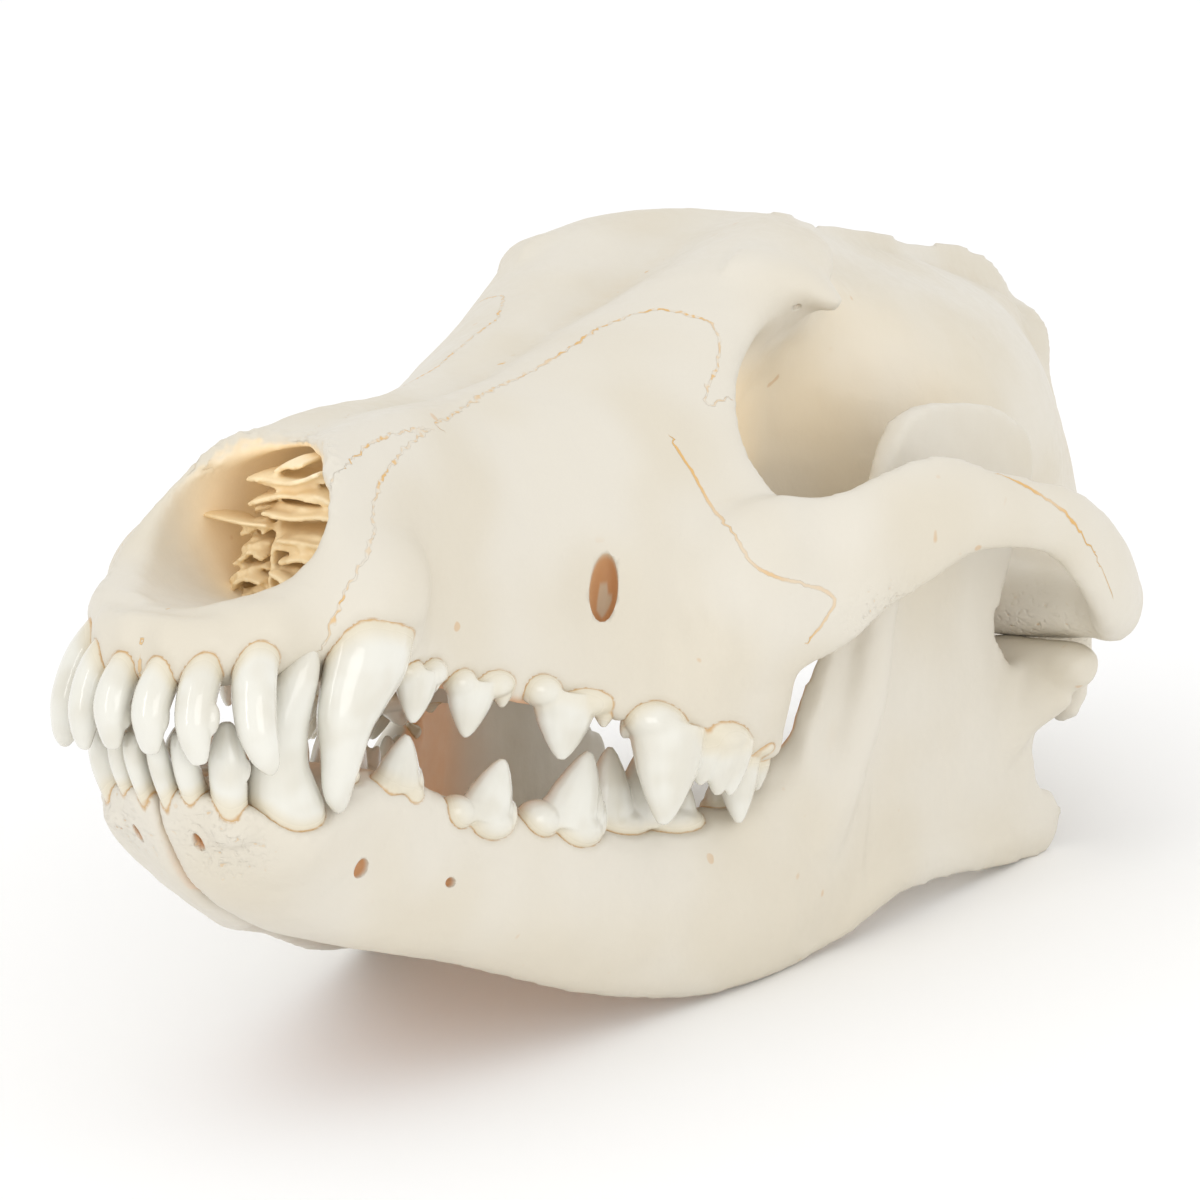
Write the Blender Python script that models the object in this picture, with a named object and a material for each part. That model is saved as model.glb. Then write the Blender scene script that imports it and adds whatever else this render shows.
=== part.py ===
# Gray wolf skull with its lower jaw, resting on a flat surface.
# Shapes are worked out in millimetres in the skull's own frame: x to the animal's left,
# y back from the front of the upper jaw, z up from the gums of the upper front teeth.
# setDown turns that frame nose-up, as the skull rests on its lower jaw, and makes it metres.

import math

import bmesh
import bpy
import numpy as np
from mathutils import Matrix, Vector

mm = 0.001
noseUp = math.radians(14.0)      # the jaw rests on its two bellies and its two rear angles
seatBack = 134.49                # from the front of the upper jaw back to the middle of the skull
seatUp = 77.88                   # from the gums of the upper front teeth down to the surface
socketGap = 0.46                 # room between a tooth's corners and its socket
jointRoom = 0.9                  # room between the jaw's condyle and its hollow in the cranium
tipRoom = 0.8                    # room between the lower canine and the bone it stands beside
sharpAngle = 55
boneVoxel = 1.5                  # grain of the bone before it is thinned to flat faces
toothVoxel = 0.6
craniumFaces = 1900
dentaryFaces = 500
toothFaces = {"small": 42, "mid": 60, "large": 84}

bone = {"name": "bone", "colour": (0.80, 0.76, 0.66, 1), "roughness": 0.55}
enamel = {"name": "enamel", "colour": (0.86, 0.85, 0.80, 1), "roughness": 0.22}


# Smooth curves through hand-set values

def curveThrough(knots, at):
    # each knot is [position, value, value ...]
    knots = np.array(knots, float)
    at = np.clip(np.atleast_1d(np.array(at, float)), knots[0, 0], knots[-1, 0])
    t, v = knots[:, 0], knots[:, 1:]
    step = np.diff(t)[:, None]
    slope = np.diff(v, axis=0) / step
    tangent = np.empty_like(v)
    tangent[0], tangent[-1] = slope[0], slope[-1]
    tangent[1:-1] = (slope[:-1] * step[1:] + slope[1:] * step[:-1]) / (step[1:] + step[:-1])
    i = np.clip(np.searchsorted(t, at, side="right") - 1, 0, len(t) - 2)
    h = step[i]
    u = (at - t[i])[:, None] / h
    return ((2 * u**3 - 3 * u**2 + 1) * v[i] + (u**3 - 2 * u**2 + u) * h * tangent[i]
            + (3 * u**2 - 2 * u**3) * v[i + 1] + (u**3 - u**2) * h * tangent[i + 1])


def closedCurve(outline, count):
    n = len(outline)
    knots = [[k] + list(outline[k % n]) for k in range(-2, n + 3)]
    return curveThrough(knots, np.arange(count) * n / count)


# Mesh tools

def newObject(name, bm):
    bmesh.ops.recalc_face_normals(bm, faces=bm.faces)
    mesh = bpy.data.meshes.new(name)
    bm.to_mesh(mesh)
    bm.free()
    obj = bpy.data.objects.new(name, mesh)
    bpy.context.collection.objects.link(obj)
    return obj


def loft(name, rings):
    bm = bmesh.new()
    loops = []
    for ring in rings:
        verts = [bm.verts.new(point) for point in ring]
        loops.append([bm.edges.new((verts[k - 1], verts[k])) for k in range(len(verts))])
    for near, far in zip(loops, loops[1:]):
        bmesh.ops.bridge_loops(bm, edges=near + far)
    for end in (loops[0], loops[-1]):
        cap = bmesh.ops.contextual_create(bm, geom=end)["faces"]
        bmesh.ops.poke(bm, faces=cap)
    return newObject(name, bm)


def mirrored(obj, name):
    bm = bmesh.new()
    bm.from_mesh(obj.data)
    bmesh.ops.scale(bm, vec=(-1, 1, 1), verts=bm.verts)
    bmesh.ops.reverse_faces(bm, faces=bm.faces)
    return newObject(name, bm)


def pair(obj):
    return [obj, mirrored(obj, obj.name + "Twin")]


def ellipsoid(name, centre, radii, turn=(0, 0, 0), cuts=3):
    bm = bmesh.new()
    bmesh.ops.create_icosphere(bm, subdivisions=cuts, radius=1)
    bmesh.ops.scale(bm, vec=radii, verts=bm.verts)
    for axis, angle in zip("XYZ", turn):
        bmesh.ops.rotate(bm, matrix=Matrix.Rotation(math.radians(angle), 3, axis), verts=bm.verts)
    bmesh.ops.translate(bm, vec=centre, verts=bm.verts)
    return newObject(name, bm)


def horn(name, stations, upright=(0, 0, 1), count=7, sides=16):
    # a tapering bar: each station is [x, y, z, half height along upright, half thickness]
    stations = np.array(stations, float)
    knots = np.column_stack([np.arange(len(stations)), stations])
    rows = curveThrough(knots, np.linspace(0, len(stations) - 1, (len(stations) - 1) * count + 1))
    centre = rows[:, :3]
    along = np.gradient(centre, axis=0)
    along /= np.linalg.norm(along, axis=1)[:, None]
    side = np.cross(along, np.array(upright, float))
    side /= np.linalg.norm(side, axis=1)[:, None]
    up = np.cross(side, along)
    turn = np.arange(sides) * 2 * math.pi / sides
    rings = (centre[:, None, :] + up[:, None, :] * (rows[:, 3:4] * np.cos(turn))[:, :, None]
             + side[:, None, :] * (rows[:, 4:5] * np.sin(turn))[:, :, None])
    return loft(name, rings)


def prism(name, outline, axis, low, high):
    # an outline in the two other axes, pulled along axis
    others = [k for k in range(3) if k != axis]
    bm = bmesh.new()
    verts = []
    for point in outline:
        place = [0.0, 0.0, 0.0]
        place[others[0]], place[others[1]] = point
        place[axis] = low
        verts.append(bm.verts.new(place))
    face = bm.faces.new(verts)
    moved = bmesh.ops.extrude_face_region(bm, geom=[face])["geom"]
    shift = [0.0, 0.0, 0.0]
    shift[axis] = high - low
    bmesh.ops.translate(bm, vec=shift, verts=[g for g in moved if isinstance(g, bmesh.types.BMVert)])
    bmesh.ops.triangulate(bm, faces=bm.faces)
    return newObject(name, bm)


def discard(objects):
    for obj in objects:
        bpy.data.objects.remove(obj)


def settle(obj):
    graph = bpy.context.evaluated_depsgraph_get()
    mesh = bpy.data.meshes.new_from_object(obj.evaluated_get(graph))
    obj.modifiers.clear()
    obj.data = mesh


def fuse(name, pieces, voxel):
    bm = bmesh.new()
    for piece in pieces:
        bm.from_mesh(piece.data)
    obj = newObject(name, bm)
    remesh = obj.modifiers.new("fuse", "REMESH")
    remesh.mode = "VOXEL"
    remesh.voxel_size = voxel
    settle(obj)
    discard(pieces)
    return obj


def carve(obj, cutters, operation="DIFFERENCE"):
    for cutter in cutters:
        cut = obj.modifiers.new("carve", "BOOLEAN")
        cut.operation = operation
        cut.object = cutter
        settle(obj)
    discard(cutters)
    return obj


def thin(obj, faces):
    obj.data.calc_loop_triangles()
    thinner = obj.modifiers.new("thin", "DECIMATE")
    thinner.ratio = min(1, faces / len(obj.data.loop_triangles))
    thinner.use_collapse_triangulate = True
    settle(obj)
    return obj


def points(obj):
    flat = np.empty(len(obj.data.vertices) * 3)
    obj.data.vertices.foreach_get("co", flat)
    return flat.reshape(-1, 3)


def normals(obj):
    flat = np.empty(len(obj.data.vertices) * 3)
    obj.data.vertex_normals.foreach_get("vector", flat)
    return flat.reshape(-1, 3)


def place(obj, co):
    obj.data.vertices.foreach_set("co", co.ravel())
    obj.data.update()


def nearness(co, centre, radii):
    # 1 at the centre and 0 past the radii, the same on both sides of the skull
    flat = np.abs(co[:, 0])
    reach = (flat - centre[0]) ** 2 / radii[0] ** 2
    reach += (co[:, 1] - centre[1]) ** 2 / radii[1] ** 2 + (co[:, 2] - centre[2]) ** 2 / radii[2] ** 2
    return np.clip(1 - reach, 0, 1) ** 2


def relax(obj, passes, weight=0.5):
    # weight is one number, or one for each point
    ends = np.empty(len(obj.data.edges) * 2, int)
    obj.data.edges.foreach_get("vertices", ends)
    a, b = ends.reshape(-1, 2).T
    co = points(obj)
    share = np.bincount(np.concatenate([a, b]), minlength=len(co))[:, None]
    weight = np.broadcast_to(np.asarray(weight, float), (len(co),))[:, None]
    for step in range(passes):
        total = np.stack([np.bincount(a, co[b, k], len(co)) + np.bincount(b, co[a, k], len(co))
                          for k in range(3)], axis=1)
        co = co + weight * (total / share - co)
    place(obj, co)


def soften(obj, spots, passes):
    # rounds the bone where pieces meet: each spot is (centre, radii)
    co = points(obj)
    weight = np.zeros(len(co))
    for centre, radii in spots:
        weight = np.maximum(weight, nearness(co, centre, radii))
    relax(obj, passes, weight * 0.6)


def press(obj, strokes):
    # raises or sinks the surface along its normals: each stroke is (centre, radii, height)
    co = points(obj)
    out = normals(obj)
    for centre, radii, height in strokes:
        co = co + out * (nearness(co, centre, radii) * height)[:, None]
    place(obj, co)


# The cranium's main body: nine points down one side of each section, from the midline of the roof
# to the midline of the palate. Each row is y, how far the section leans back, then x and z of
# roof, nasal edge, shoulder, upper wall, wall, lower wall, outer gum, inner gum and palate.

bodySections = [
    [-0.5, 0, 0, 6.5, 2, 6.4, 4, 6, 5.6, 5, 6.8, 3.2, 7.2, 0.6, 6.4, -1.8, 4, -2.8, 0, -2.8],
    [3, 0, 0, 12, 4, 12, 6.8, 11, 8.5, 8.5, 10.2, 5.6, 11.5, 2.4, 10.8, -0.8, 6, -3, 0, -2.6],
    [8, 0, 0, 22, 6, 22, 9.6, 20.5, 12.8, 16.5, 14.5, 11, 15.8, 5.4, 15.2, 1, 9, -2.8, 0, -2],
    [16, 0, 0, 30, 7, 30, 11.6, 28, 14.9, 22, 17.4, 15.4, 19.4, 9, 19, 3.2, 11, -2.4, 0, -1],
    [24, 0, 0, 32.5, 7, 33, 11.3, 30.5, 15, 25, 20, 17, 24.2, 11, 23, 5.5, 15, -1.8, 0, 0],
    [33, 0, 0, 33, 6.5, 34.2, 11.5, 31.5, 16.5, 26, 22, 18, 25, 11, 23, 3.2, 15, -1, 0, 1],
    [42, 0, 0, 35.7, 6, 36.6, 11, 34, 15.8, 28, 20, 18.5, 21.6, 9, 20.8, 0.8, 14.5, -1, 0, 2],
    [54, 0, 0, 38.2, 5.5, 39.2, 10, 36.8, 15.4, 30, 19.6, 19.5, 22, 8.5, 23, -1.5, 16.5, -2.5, 0, 2.5],
    [66, 0, 0, 39.8, 5, 40.9, 9.5, 39, 15.8, 31.8, 21.8, 20.5, 25.4, 8, 26.6, -2.6, 19.5, -4, 0, 2.5],
    [78, 0, 0, 42.4, 5, 44.2, 10.5, 42.6, 18.6, 35.4, 25.8, 23, 30, 9, 32, -3.4, 26, -5, 0, 2.2],
    [90, 0, 0, 46.8, 5.2, 48.8, 12, 47.4, 21.6, 39.8, 29.6, 27, 35.8, 11, 39, -6.8, 31.6, -7.8, 0, 1.6],
    [102, 0, 0, 52, 6, 54.4, 14.2, 53, 24, 45.6, 32, 33, 41, 14.5, 41.6, -9, 31.6, -9.4, 0, 1.4],
    [112, 0, 0, 56.5, 8, 59.2, 17.4, 57.6, 26, 50.2, 34, 37.4, 46, 18, 41, -10.8, 29.5, -10, 0, 1.2],
    [121, 0, 0, 60.4, 10.5, 64.2, 20.8, 61.8, 26.8, 55, 27, 42, 34, 18, 37.4, -10.6, 25, -9.5, 0, 1],
    [127, 0, 0, 62.8, 12, 67, 23.2, 65, 27, 59, 21.5, 44, 21, 20, 24, -6, 17, -7.5, 0, 3],
    [133, 0, 0, 65.6, 13.4, 70.4, 25, 67.4, 28.2, 62, 18.5, 46, 15.5, 22, 15.6, 2, 12, -3, 0, 5],
    [142, 0, 0, 69.3, 13, 73.6, 25.6, 70, 28.4, 64.2, 17, 47, 14, 23, 13.6, 4, 11, -2, 0, 6],
    [152, 0, 0, 73.2, 10.4, 75.6, 21.2, 72.2, 22.8, 66, 16.8, 47, 13.4, 24, 13, 5, 11, -1.5, 0, 7],
    [163, 0, 0, 76, 5.5, 76, 12, 71.5, 18, 62.5, 19.5, 47, 16.5, 27, 13, 7, 11, 0, 0, 9],
    [176, 0, 0, 76.2, 3.5, 74.4, 10, 69, 20, 60, 25.5, 46.5, 24, 31, 18, 17, 9, 12, 0, 11],
    [190, 0, 0, 74, 5.5, 72.2, 15, 67.6, 25.5, 58.5, 31.2, 45.5, 30.5, 31.5, 25, 20, 11, 12.5, 0, 11],
    [205, 0.05, 0, 73, 7, 71.5, 17.5, 66.5, 28.5, 57, 34, 44.5, 33.6, 31.5, 30, 20, 14, 12.5, 0, 11],
    [220, 0.15, 0, 71.5, 7.5, 70, 17.5, 65, 28, 55.5, 33.6, 43, 34.5, 31, 32, 19.5, 17, 13, 0, 11],
    [234, 0.3, 0, 69.5, 7, 67.6, 13.5, 62.5, 21.5, 53, 28.5, 41.5, 32, 30, 32.5, 18.5, 18, 13, 0, 12],
    [243, 0.42, 0, 67.5, 6.5, 65.6, 11, 59.5, 17.5, 50, 24.5, 40.5, 30, 29.5, 31, 18, 18, 13.5, 0, 13],
    [248, 0.46, 0, 65, 5, 62.5, 9.5, 57, 15.5, 48, 22, 38.5, 28, 29, 29, 18.5, 17, 14, 0, 14],
]
leanHeight = 35                  # sections lean back about this height


def sectionRings(sections, spacing=3.0, count=48):
    sections = np.array(sections, float)
    stops = np.arange(sections[0, 0], sections[-1, 0] + spacing * 0.5, spacing)
    rings = []
    for y, row in zip(stops, curveThrough(sections, stops)):
        lean, half = row[0], row[1:].reshape(-1, 2)
        whole = np.vstack([half, half[-2:0:-1] * (-1, 1)])
        outline = closedCurve(whole, count)
        back = y + lean * (outline[:, 1] - leanHeight)
        rings.append(np.column_stack([outline[:, 0], back, outline[:, 1]]))
    return rings


def tunnel(name, stations, squareness=2.3, count=28):
    # a cutter or bar along y: each station is y, centre x, centre z, half width, half height
    stations = np.array(stations, float)
    stops = np.linspace(stations[0, 0], stations[-1, 0], 3 * len(stations))
    turn = np.arange(count) * 2 * math.pi / count
    across = np.sign(np.cos(turn)) * np.abs(np.cos(turn)) ** (2 / squareness)
    high = np.sign(np.sin(turn)) * np.abs(np.sin(turn)) ** (2 / squareness)
    rings = []
    for y, (cx, cz, wide, tall) in zip(stops, curveThrough(stations, stops)):
        rings.append(np.column_stack([cx + wide * across, np.full(count, y), cz + tall * high]))
    return loft(name, rings)


nasalRoom = [[-6, 0, 21, 13, 13], [6, 0, 21, 13.4, 13.2], [14, 0, 20.6, 14.4, 12.6],
             [22, 0, 19.6, 14.4, 11.4],
             [30, 0, 19.4, 13.4, 11.2], [40, 0, 20.4, 12.6, 12], [55, 0, 21.4, 12.6, 13],
             [70, 0, 22, 12, 13],
             [80, 0, 22, 8, 9]]
nasalRim = [[-14, 6.6], [4.6, 7.1], [6.4, 9.0], [11.7, 11.3], [16.2, 13.6], [19.2, 17.4], [22.4, 23.4],
            [25.5, 27.8], [27.4, 31], [28.6, 36], [28.8, 48], [-14, 48]]
nasalNotch = [[-9.6, 24], [-9.4, 28.2], [-5, 32.6], [0, 36], [5, 32.6], [9.4, 28.2], [9.6, 24]]
throat = [[117, 0, 8, 7, 4], [123, 0, 7, 9, 7], [131, 0, -2, 10.2, 15], [150, 0, -6, 10, 19],
          [166, 0, -6, 9.6, 19.5], [180, 0, -9, 9, 19]]
orbitScoop = {"centre": (46, 139, 42), "radii": (27, 33, 25)}
spineHole = [[206, 0, 36, 5, 4], [228, 0, 35, 8, 6.6], [244, 0, 32.5, 9.4, 8], [266, 0, 27, 11, 9]]

cheekArch = [[34, 99, 8, 15, 8], [41, 108, 15, 14.5, 6.5], [45.6, 115, 18, 13.5, 4.6],
             [49.6, 120.5, 21.4, 11, 4.2], [53, 128, 25.6, 10.4, 3.8], [56, 135.5, 29, 9.8, 3.5],
             [59.4, 144.5, 29.9, 6.9, 3.3], [62.6, 155, 29.6, 5.9, 3.2], [64.8, 163.5, 28.4, 6.2, 3.3],
             [66.2, 170.5, 25, 6.8, 3.4], [66.6, 177, 21, 7.2, 3.7], [65.6, 183, 17.2, 7.4, 4.2],
             [62.8, 189, 15.6, 7, 5.2], [58, 194.5, 15.2, 6.4, 6.6], [51, 199.5, 15.6, 6.6, 7.6],
             [42, 203.5, 17, 7.4, 8.6], [30, 206, 21, 9, 9]]
browHorn = [[17, 135, 65, 5.6, 13], [24, 136.4, 64.4, 4.4, 9], [29.4, 137.8, 62.6, 2.9, 5.2],
            [33, 139, 60.8, 1.7, 2.2]]
sagittalTop = [[158, 74], [168, 76.6], [178, 77.3], [187, 75.9], [198, 76.6], [212, 76.6], [221, 75.3],
               [232, 75.9], [246, 76], [254, 74.6], [260, 72.4], [264.8, 69], [268, 65]]
nuchalFlange = [[0, 264.4, 63.4, 4.6, 3.2], [4, 261.4, 62.2, 4.6, 2.8], [8.8, 257.4, 59.2, 4.8, 2.4],
                [12.8, 252.2, 54.6, 4.8, 2.2], [16.4, 245.8, 48.4, 4.8, 2.1], [21, 241.8, 39.8, 4.4, 2.1],
                [25.8, 237, 31.6, 4, 2.3], [29.8, 231.4, 24, 3.8, 2.8], [32.2, 227.6, 18, 3.4, 3.2]]
occipitalCondyle = {"centre": (11, 246.5, 23), "radii": (6.6, 8.4, 9.4), "turn": (-20, 28, 0)}
bulla = {"centre": (17.5, 219, 6.6), "radii": (9.2, 13.5, 9.6), "turn": (0, 0, -14)}
neckProng = [[27, 233, 18, 5.5, 5], [27.4, 237, 9, 4, 3.2], [26.6, 239.4, 1, 2.8, 2],
             [26, 240.6, -5.6, 1.6, 1.3]]
jointProng = [[42, 205, 14, 5, 9], [44, 206.4, 6, 3.8, 7.8], [46, 206.6, -0.4, 3.3, 6],
              [47.6, 206, -4.6, 2.4, 3.8],
              [48.4, 205.6, -6.4, 1.6, 2]]
socketShelf = [[30, 197, 15.6, 7.4, 9], [40, 196.5, 14, 6.8, 9], [50, 194.5, 14, 6.2, 8],
               [58, 191.5, 14.2, 5.6, 6.5], [63, 188.5, 15, 5, 5]]


def ridgePlate(name, tops, depth, thickness, count=24):
    # a thin wall along the midline under a line of [y, z]
    stops = np.linspace(tops[0][0], tops[-1][0], count)
    rings = []
    for y, (z,) in zip(stops, curveThrough(tops, stops)):
        wide = thickness
        rings.append([(0, y, z), (wide * 0.7, y, z - 0.8), (wide, y, z - 3), (wide * 2.4, y - 2, z - depth),
                      (-wide * 2.4, y - 2, z - depth), (-wide, y, z - 3), (-wide * 0.7, y, z - 0.8)])
    return loft(name, rings)


def craniumSolid(voxel):
    body = loft("body", sectionRings(bodySections))
    rim = prism("rimCut", nasalRim, 0, -45, 45)
    notch = prism("notchCut", nasalNotch, 2, 23, 46)
    scoops = pair(ellipsoid("scoop", orbitScoop["centre"], orbitScoop["radii"], cuts=4))
    carve(body, [rim, notch, tunnel("room", nasalRoom), tunnel("throatCut", throat, 2.6)] + scoops)
    parts = [body, ridgePlate("crest", sagittalTop, 9, 1.15)]
    parts += pair(horn("arch", cheekArch))
    parts += pair(horn("brow", browHorn, upright=(0.1, 0, 1)))
    parts += pair(horn("flange", nuchalFlange, upright=(0, 0.75, 1)))
    parts += pair(ellipsoid("condyle", **occipitalCondyle))
    parts += pair(ellipsoid("bulla", **bulla))
    parts += pair(horn("prong", neckProng, upright=(0, 1, 0)))
    parts += pair(horn("jointProng", jointProng, upright=(0, 1, 0)))
    parts += pair(horn("shelf", socketShelf))
    skull = fuse("cranium", parts, voxel)
    carve(skull, [tunnel("spine", spineHole, 2)])
    return skull


# Where pieces grow into one another, and what swells or sinks over them: centre, radii (and height)

cheekRoots = [((43, 111, 14), (15, 17, 18)), ((25, 135, 64), (14, 16, 13)), ((47, 198, 15), (17, 14, 13)),
              ((17.5, 219, 7), (13, 17, 9)), ((27, 233, 18), (10, 10, 12)), ((22, 250, 52), (20, 16, 20))]
swellings = [((23, 29.5, 15.2), (11, 13, 10.4), 2.2), ((14.4, 10.8, 6.2), (6, 6, 5.4), 1.2),
             ((9, 3, 4.6), (3.6, 5, 4), 0.7),
             ((3.4, 0, 3.6), (2.8, 5, 4), 0.6), ((34, 100, 2), (18, 20, 14), 0.8), ((30, 76, 15),
             (8, 11, 10), -1.6),
             ((0, 120, 62), (7, 46, 16), -0.8), ((13, 190, 71), (12, 46, 8), -0.9)]


def cranium(voxel):
    skull = craniumSolid(voxel)
    relax(skull, 3)
    soften(skull, cheekRoots, 14)
    press(skull, swellings)
    return skull


# The lower jaw: each half is a body of sections along y, a flat ramus behind it and the joint.
# Body rows are y, then x and z of the top inner edge, top outer edge, upper wall, lower wall,
# lower edge, inner lower edge and inner wall.

jawSections = [
    [5.6, 0.4, -18.4, 4.6, -18.4, 5.6, -18.9, 5.2, -19.8, 3.4, -20.4, 0.4, -20.6, 0.4, -19.4],
    [8, 0.4, -17.8, 9.4, -18.4, 10.7, -20.2, 9.2, -22.4, 5.4, -23.8, 0.4, -24.6, 0.4, -21],
    [12, 0.4, -17.2, 12.8, -19.8, 13.9, -22, 10.9, -24.8, 6, -28, 0.4, -30, 0.4, -23],
    [18, 0.4, -16.4, 16, -22.2, 17.5, -24.8, 14.8, -28.4, 7.4, -32.4, 0.4, -34.2, 0.4, -25],
    [26, 0.4, -15.4, 17.4, -19.2, 19.1, -24.8, 16.6, -30.6, 9.6, -36, 0.4, -37.4, 0.4, -26],
    [34, 0.4, -15.4, 18, -16.2, 19, -23.6, 17.4, -32, 11.4, -38.8, 1, -40, 0.4, -27],
    [44, 5.4, -16.6, 19.2, -16.6, 20.6, -24.6, 19.8, -33.4, 15, -41.2, 7, -41.4, 5, -29],
    [56, 11.6, -20, 21.4, -20.4, 22.6, -27.4, 22.4, -36.4, 18.4, -43, 12.6, -42.8, 10.4, -31],
    [68, 16, -21.6, 24.6, -22.2, 26, -29, 26.2, -38, 22, -45.4, 17, -45.2, 14.6, -34],
    [80, 20, -23, 27.8, -24.2, 29.6, -31, 29.8, -40, 25.6, -47.8, 21, -47.4, 18, -36],
    [94, 23.6, -24, 31.4, -24.6, 33.4, -32, 33.6, -41.4, 29.6, -49.8, 25, -49.2, 22, -37],
    [108, 27.6, -22.6, 35, -23.4, 37.2, -31, 37.2, -41.6, 33.2, -50.4, 28.6, -49.8, 26, -36],
    [120, 31.6, -18, 38.4, -18.6, 40.2, -28, 40, -39.6, 36.4, -48.8, 32, -48.4, 30.2, -34],
    [132, 35.4, -8, 41, -8.4, 42, -24, 41.6, -36.6, 38.6, -46, 35, -45.8, 34.6, -30],
    [146, 38.8, 4, 42, 3.6, 42.8, -18, 42.6, -32, 40.2, -41.4, 38, -41, 38.6, -24],
]
ramusOutline = [(127, -9), (129.5, -2), (134, 12), (139.5, 30), (142, 38), (146.4, 44), (153, 46.3),
                (163, 46.9),
                (173, 46.2), (180.6, 43.6), (184.4, 39), (184.4, 32), (181.6, 22), (178.6, 13), (180, 7),
                (186, 3.4),
                (193, 1.6), (196.4, -4), (195.6, -12), (198.4, -17.6), (203.6, -19), (206.6, -22.6),
                (205.6, -28),
                (199, -30.9), (188, -31.8), (174, -33.2), (162, -35.2), (152, -39), (141, -43.4),
                (128, -43.6), (124, -30)]
ramus = {"thick": 4.2, "x": 39.2, "perY": 0.105, "perZ": 0.03, "fromY": 140, "fromZ": -30}
jawCondyle = [[36.5, 195.4, 2.8, 2.8, 3], [39, 194.8, 3.4, 4, 4], [49, 192.6, 3.6, 4.4, 4.6],
              [56, 190.8, 3.8, 4.2, 4.3], [59.2, 190, 3.6, 2.6, 2.8]]
jawNeck = [[43, 186, -14, 4, 4], [46, 189, -6, 4.4, 5], [49, 191.4, 1, 4, 8]]
frontRidge = [[44.6, 141, 24, 3, 2], [44.4, 139.4, 12, 4, 3], [43.4, 139, -2, 5, 3.6],
              [41.4, 137, -16, 5, 3.6],
              [40, 133, -28, 6, 3]]
lowerRidge = [[46.6, 203.6, -24.6, 4.4, 2.4], [45.4, 193, -26.4, 4.4, 2.8], [43.4, 176, -28.8, 4.2, 2.8],
              [41.4, 160, -31.4, 4.4, 2.8], [39.6, 144, -38, 5.2, 3]]


def ramusX(co):
    back, up = co[:, 1] - ramus["fromY"], co[:, 2] - ramus["fromZ"]
    return ramus["x"] + back * ramus["perY"] + up * ramus["perZ"]


def dentarySolid(name, voxel):
    rings = []
    for y, row in zip(*stationsOf(jawSections, 2.5)):
        outline = closedCurve(row.reshape(-1, 2), 28)
        outline[:, 0] = np.maximum(outline[:, 0], 0.3)
        rings.append(np.column_stack([outline[:, 0], np.full(len(outline), y), outline[:, 1]]))
    body = loft("jawBody", rings)
    plate = prism("ramus", closedCurve(ramusOutline, 120), 0, -ramus["thick"] / 2, ramus["thick"] / 2)
    co = points(plate)
    co[:, 0] += ramusX(co)
    place(plate, co)
    parts = [body, plate, horn("jawCondyle", jawCondyle), horn("neck", jawNeck, upright=(0, 1, 0)),
             horn("frontRidge", frontRidge, upright=(0, 1, 0)), horn("lowerRidge", lowerRidge)]
    return fuse(name, parts, voxel)


def stationsOf(sections, spacing):
    sections = np.array(sections, float)
    stops = np.arange(sections[0, 0], sections[-1, 0] + spacing * 0.5, spacing)
    return stops, curveThrough(sections, stops)


jawJoins = [((42, 139, 4), (9, 12, 34)), ((41, 150, -40), (9, 24, 10)), ((46, 189, -4), (12, 12, 14))]
jawSwellings = [((43, 158, -2), (8, 26, 26), -0.9)]


def dentary(name, voxel):
    jaw = dentarySolid(name, voxel)
    relax(jaw, 2)
    soften(jaw, jawJoins, 12)
    press(jaw, jawSwellings)
    return jaw


# Teeth. Front teeth follow a path from root to tip, each station x, y, z, half length along the row
# and half thickness, with bumps of x, y, z and radii. Cheek teeth stand at the middle of the neck:
# row runs back along the jaw and rise is its slope. Cusps are foot and tip along the row, tip
# outwards, height, half length and half width. Lobes are along, out, up and their radii.

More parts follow.
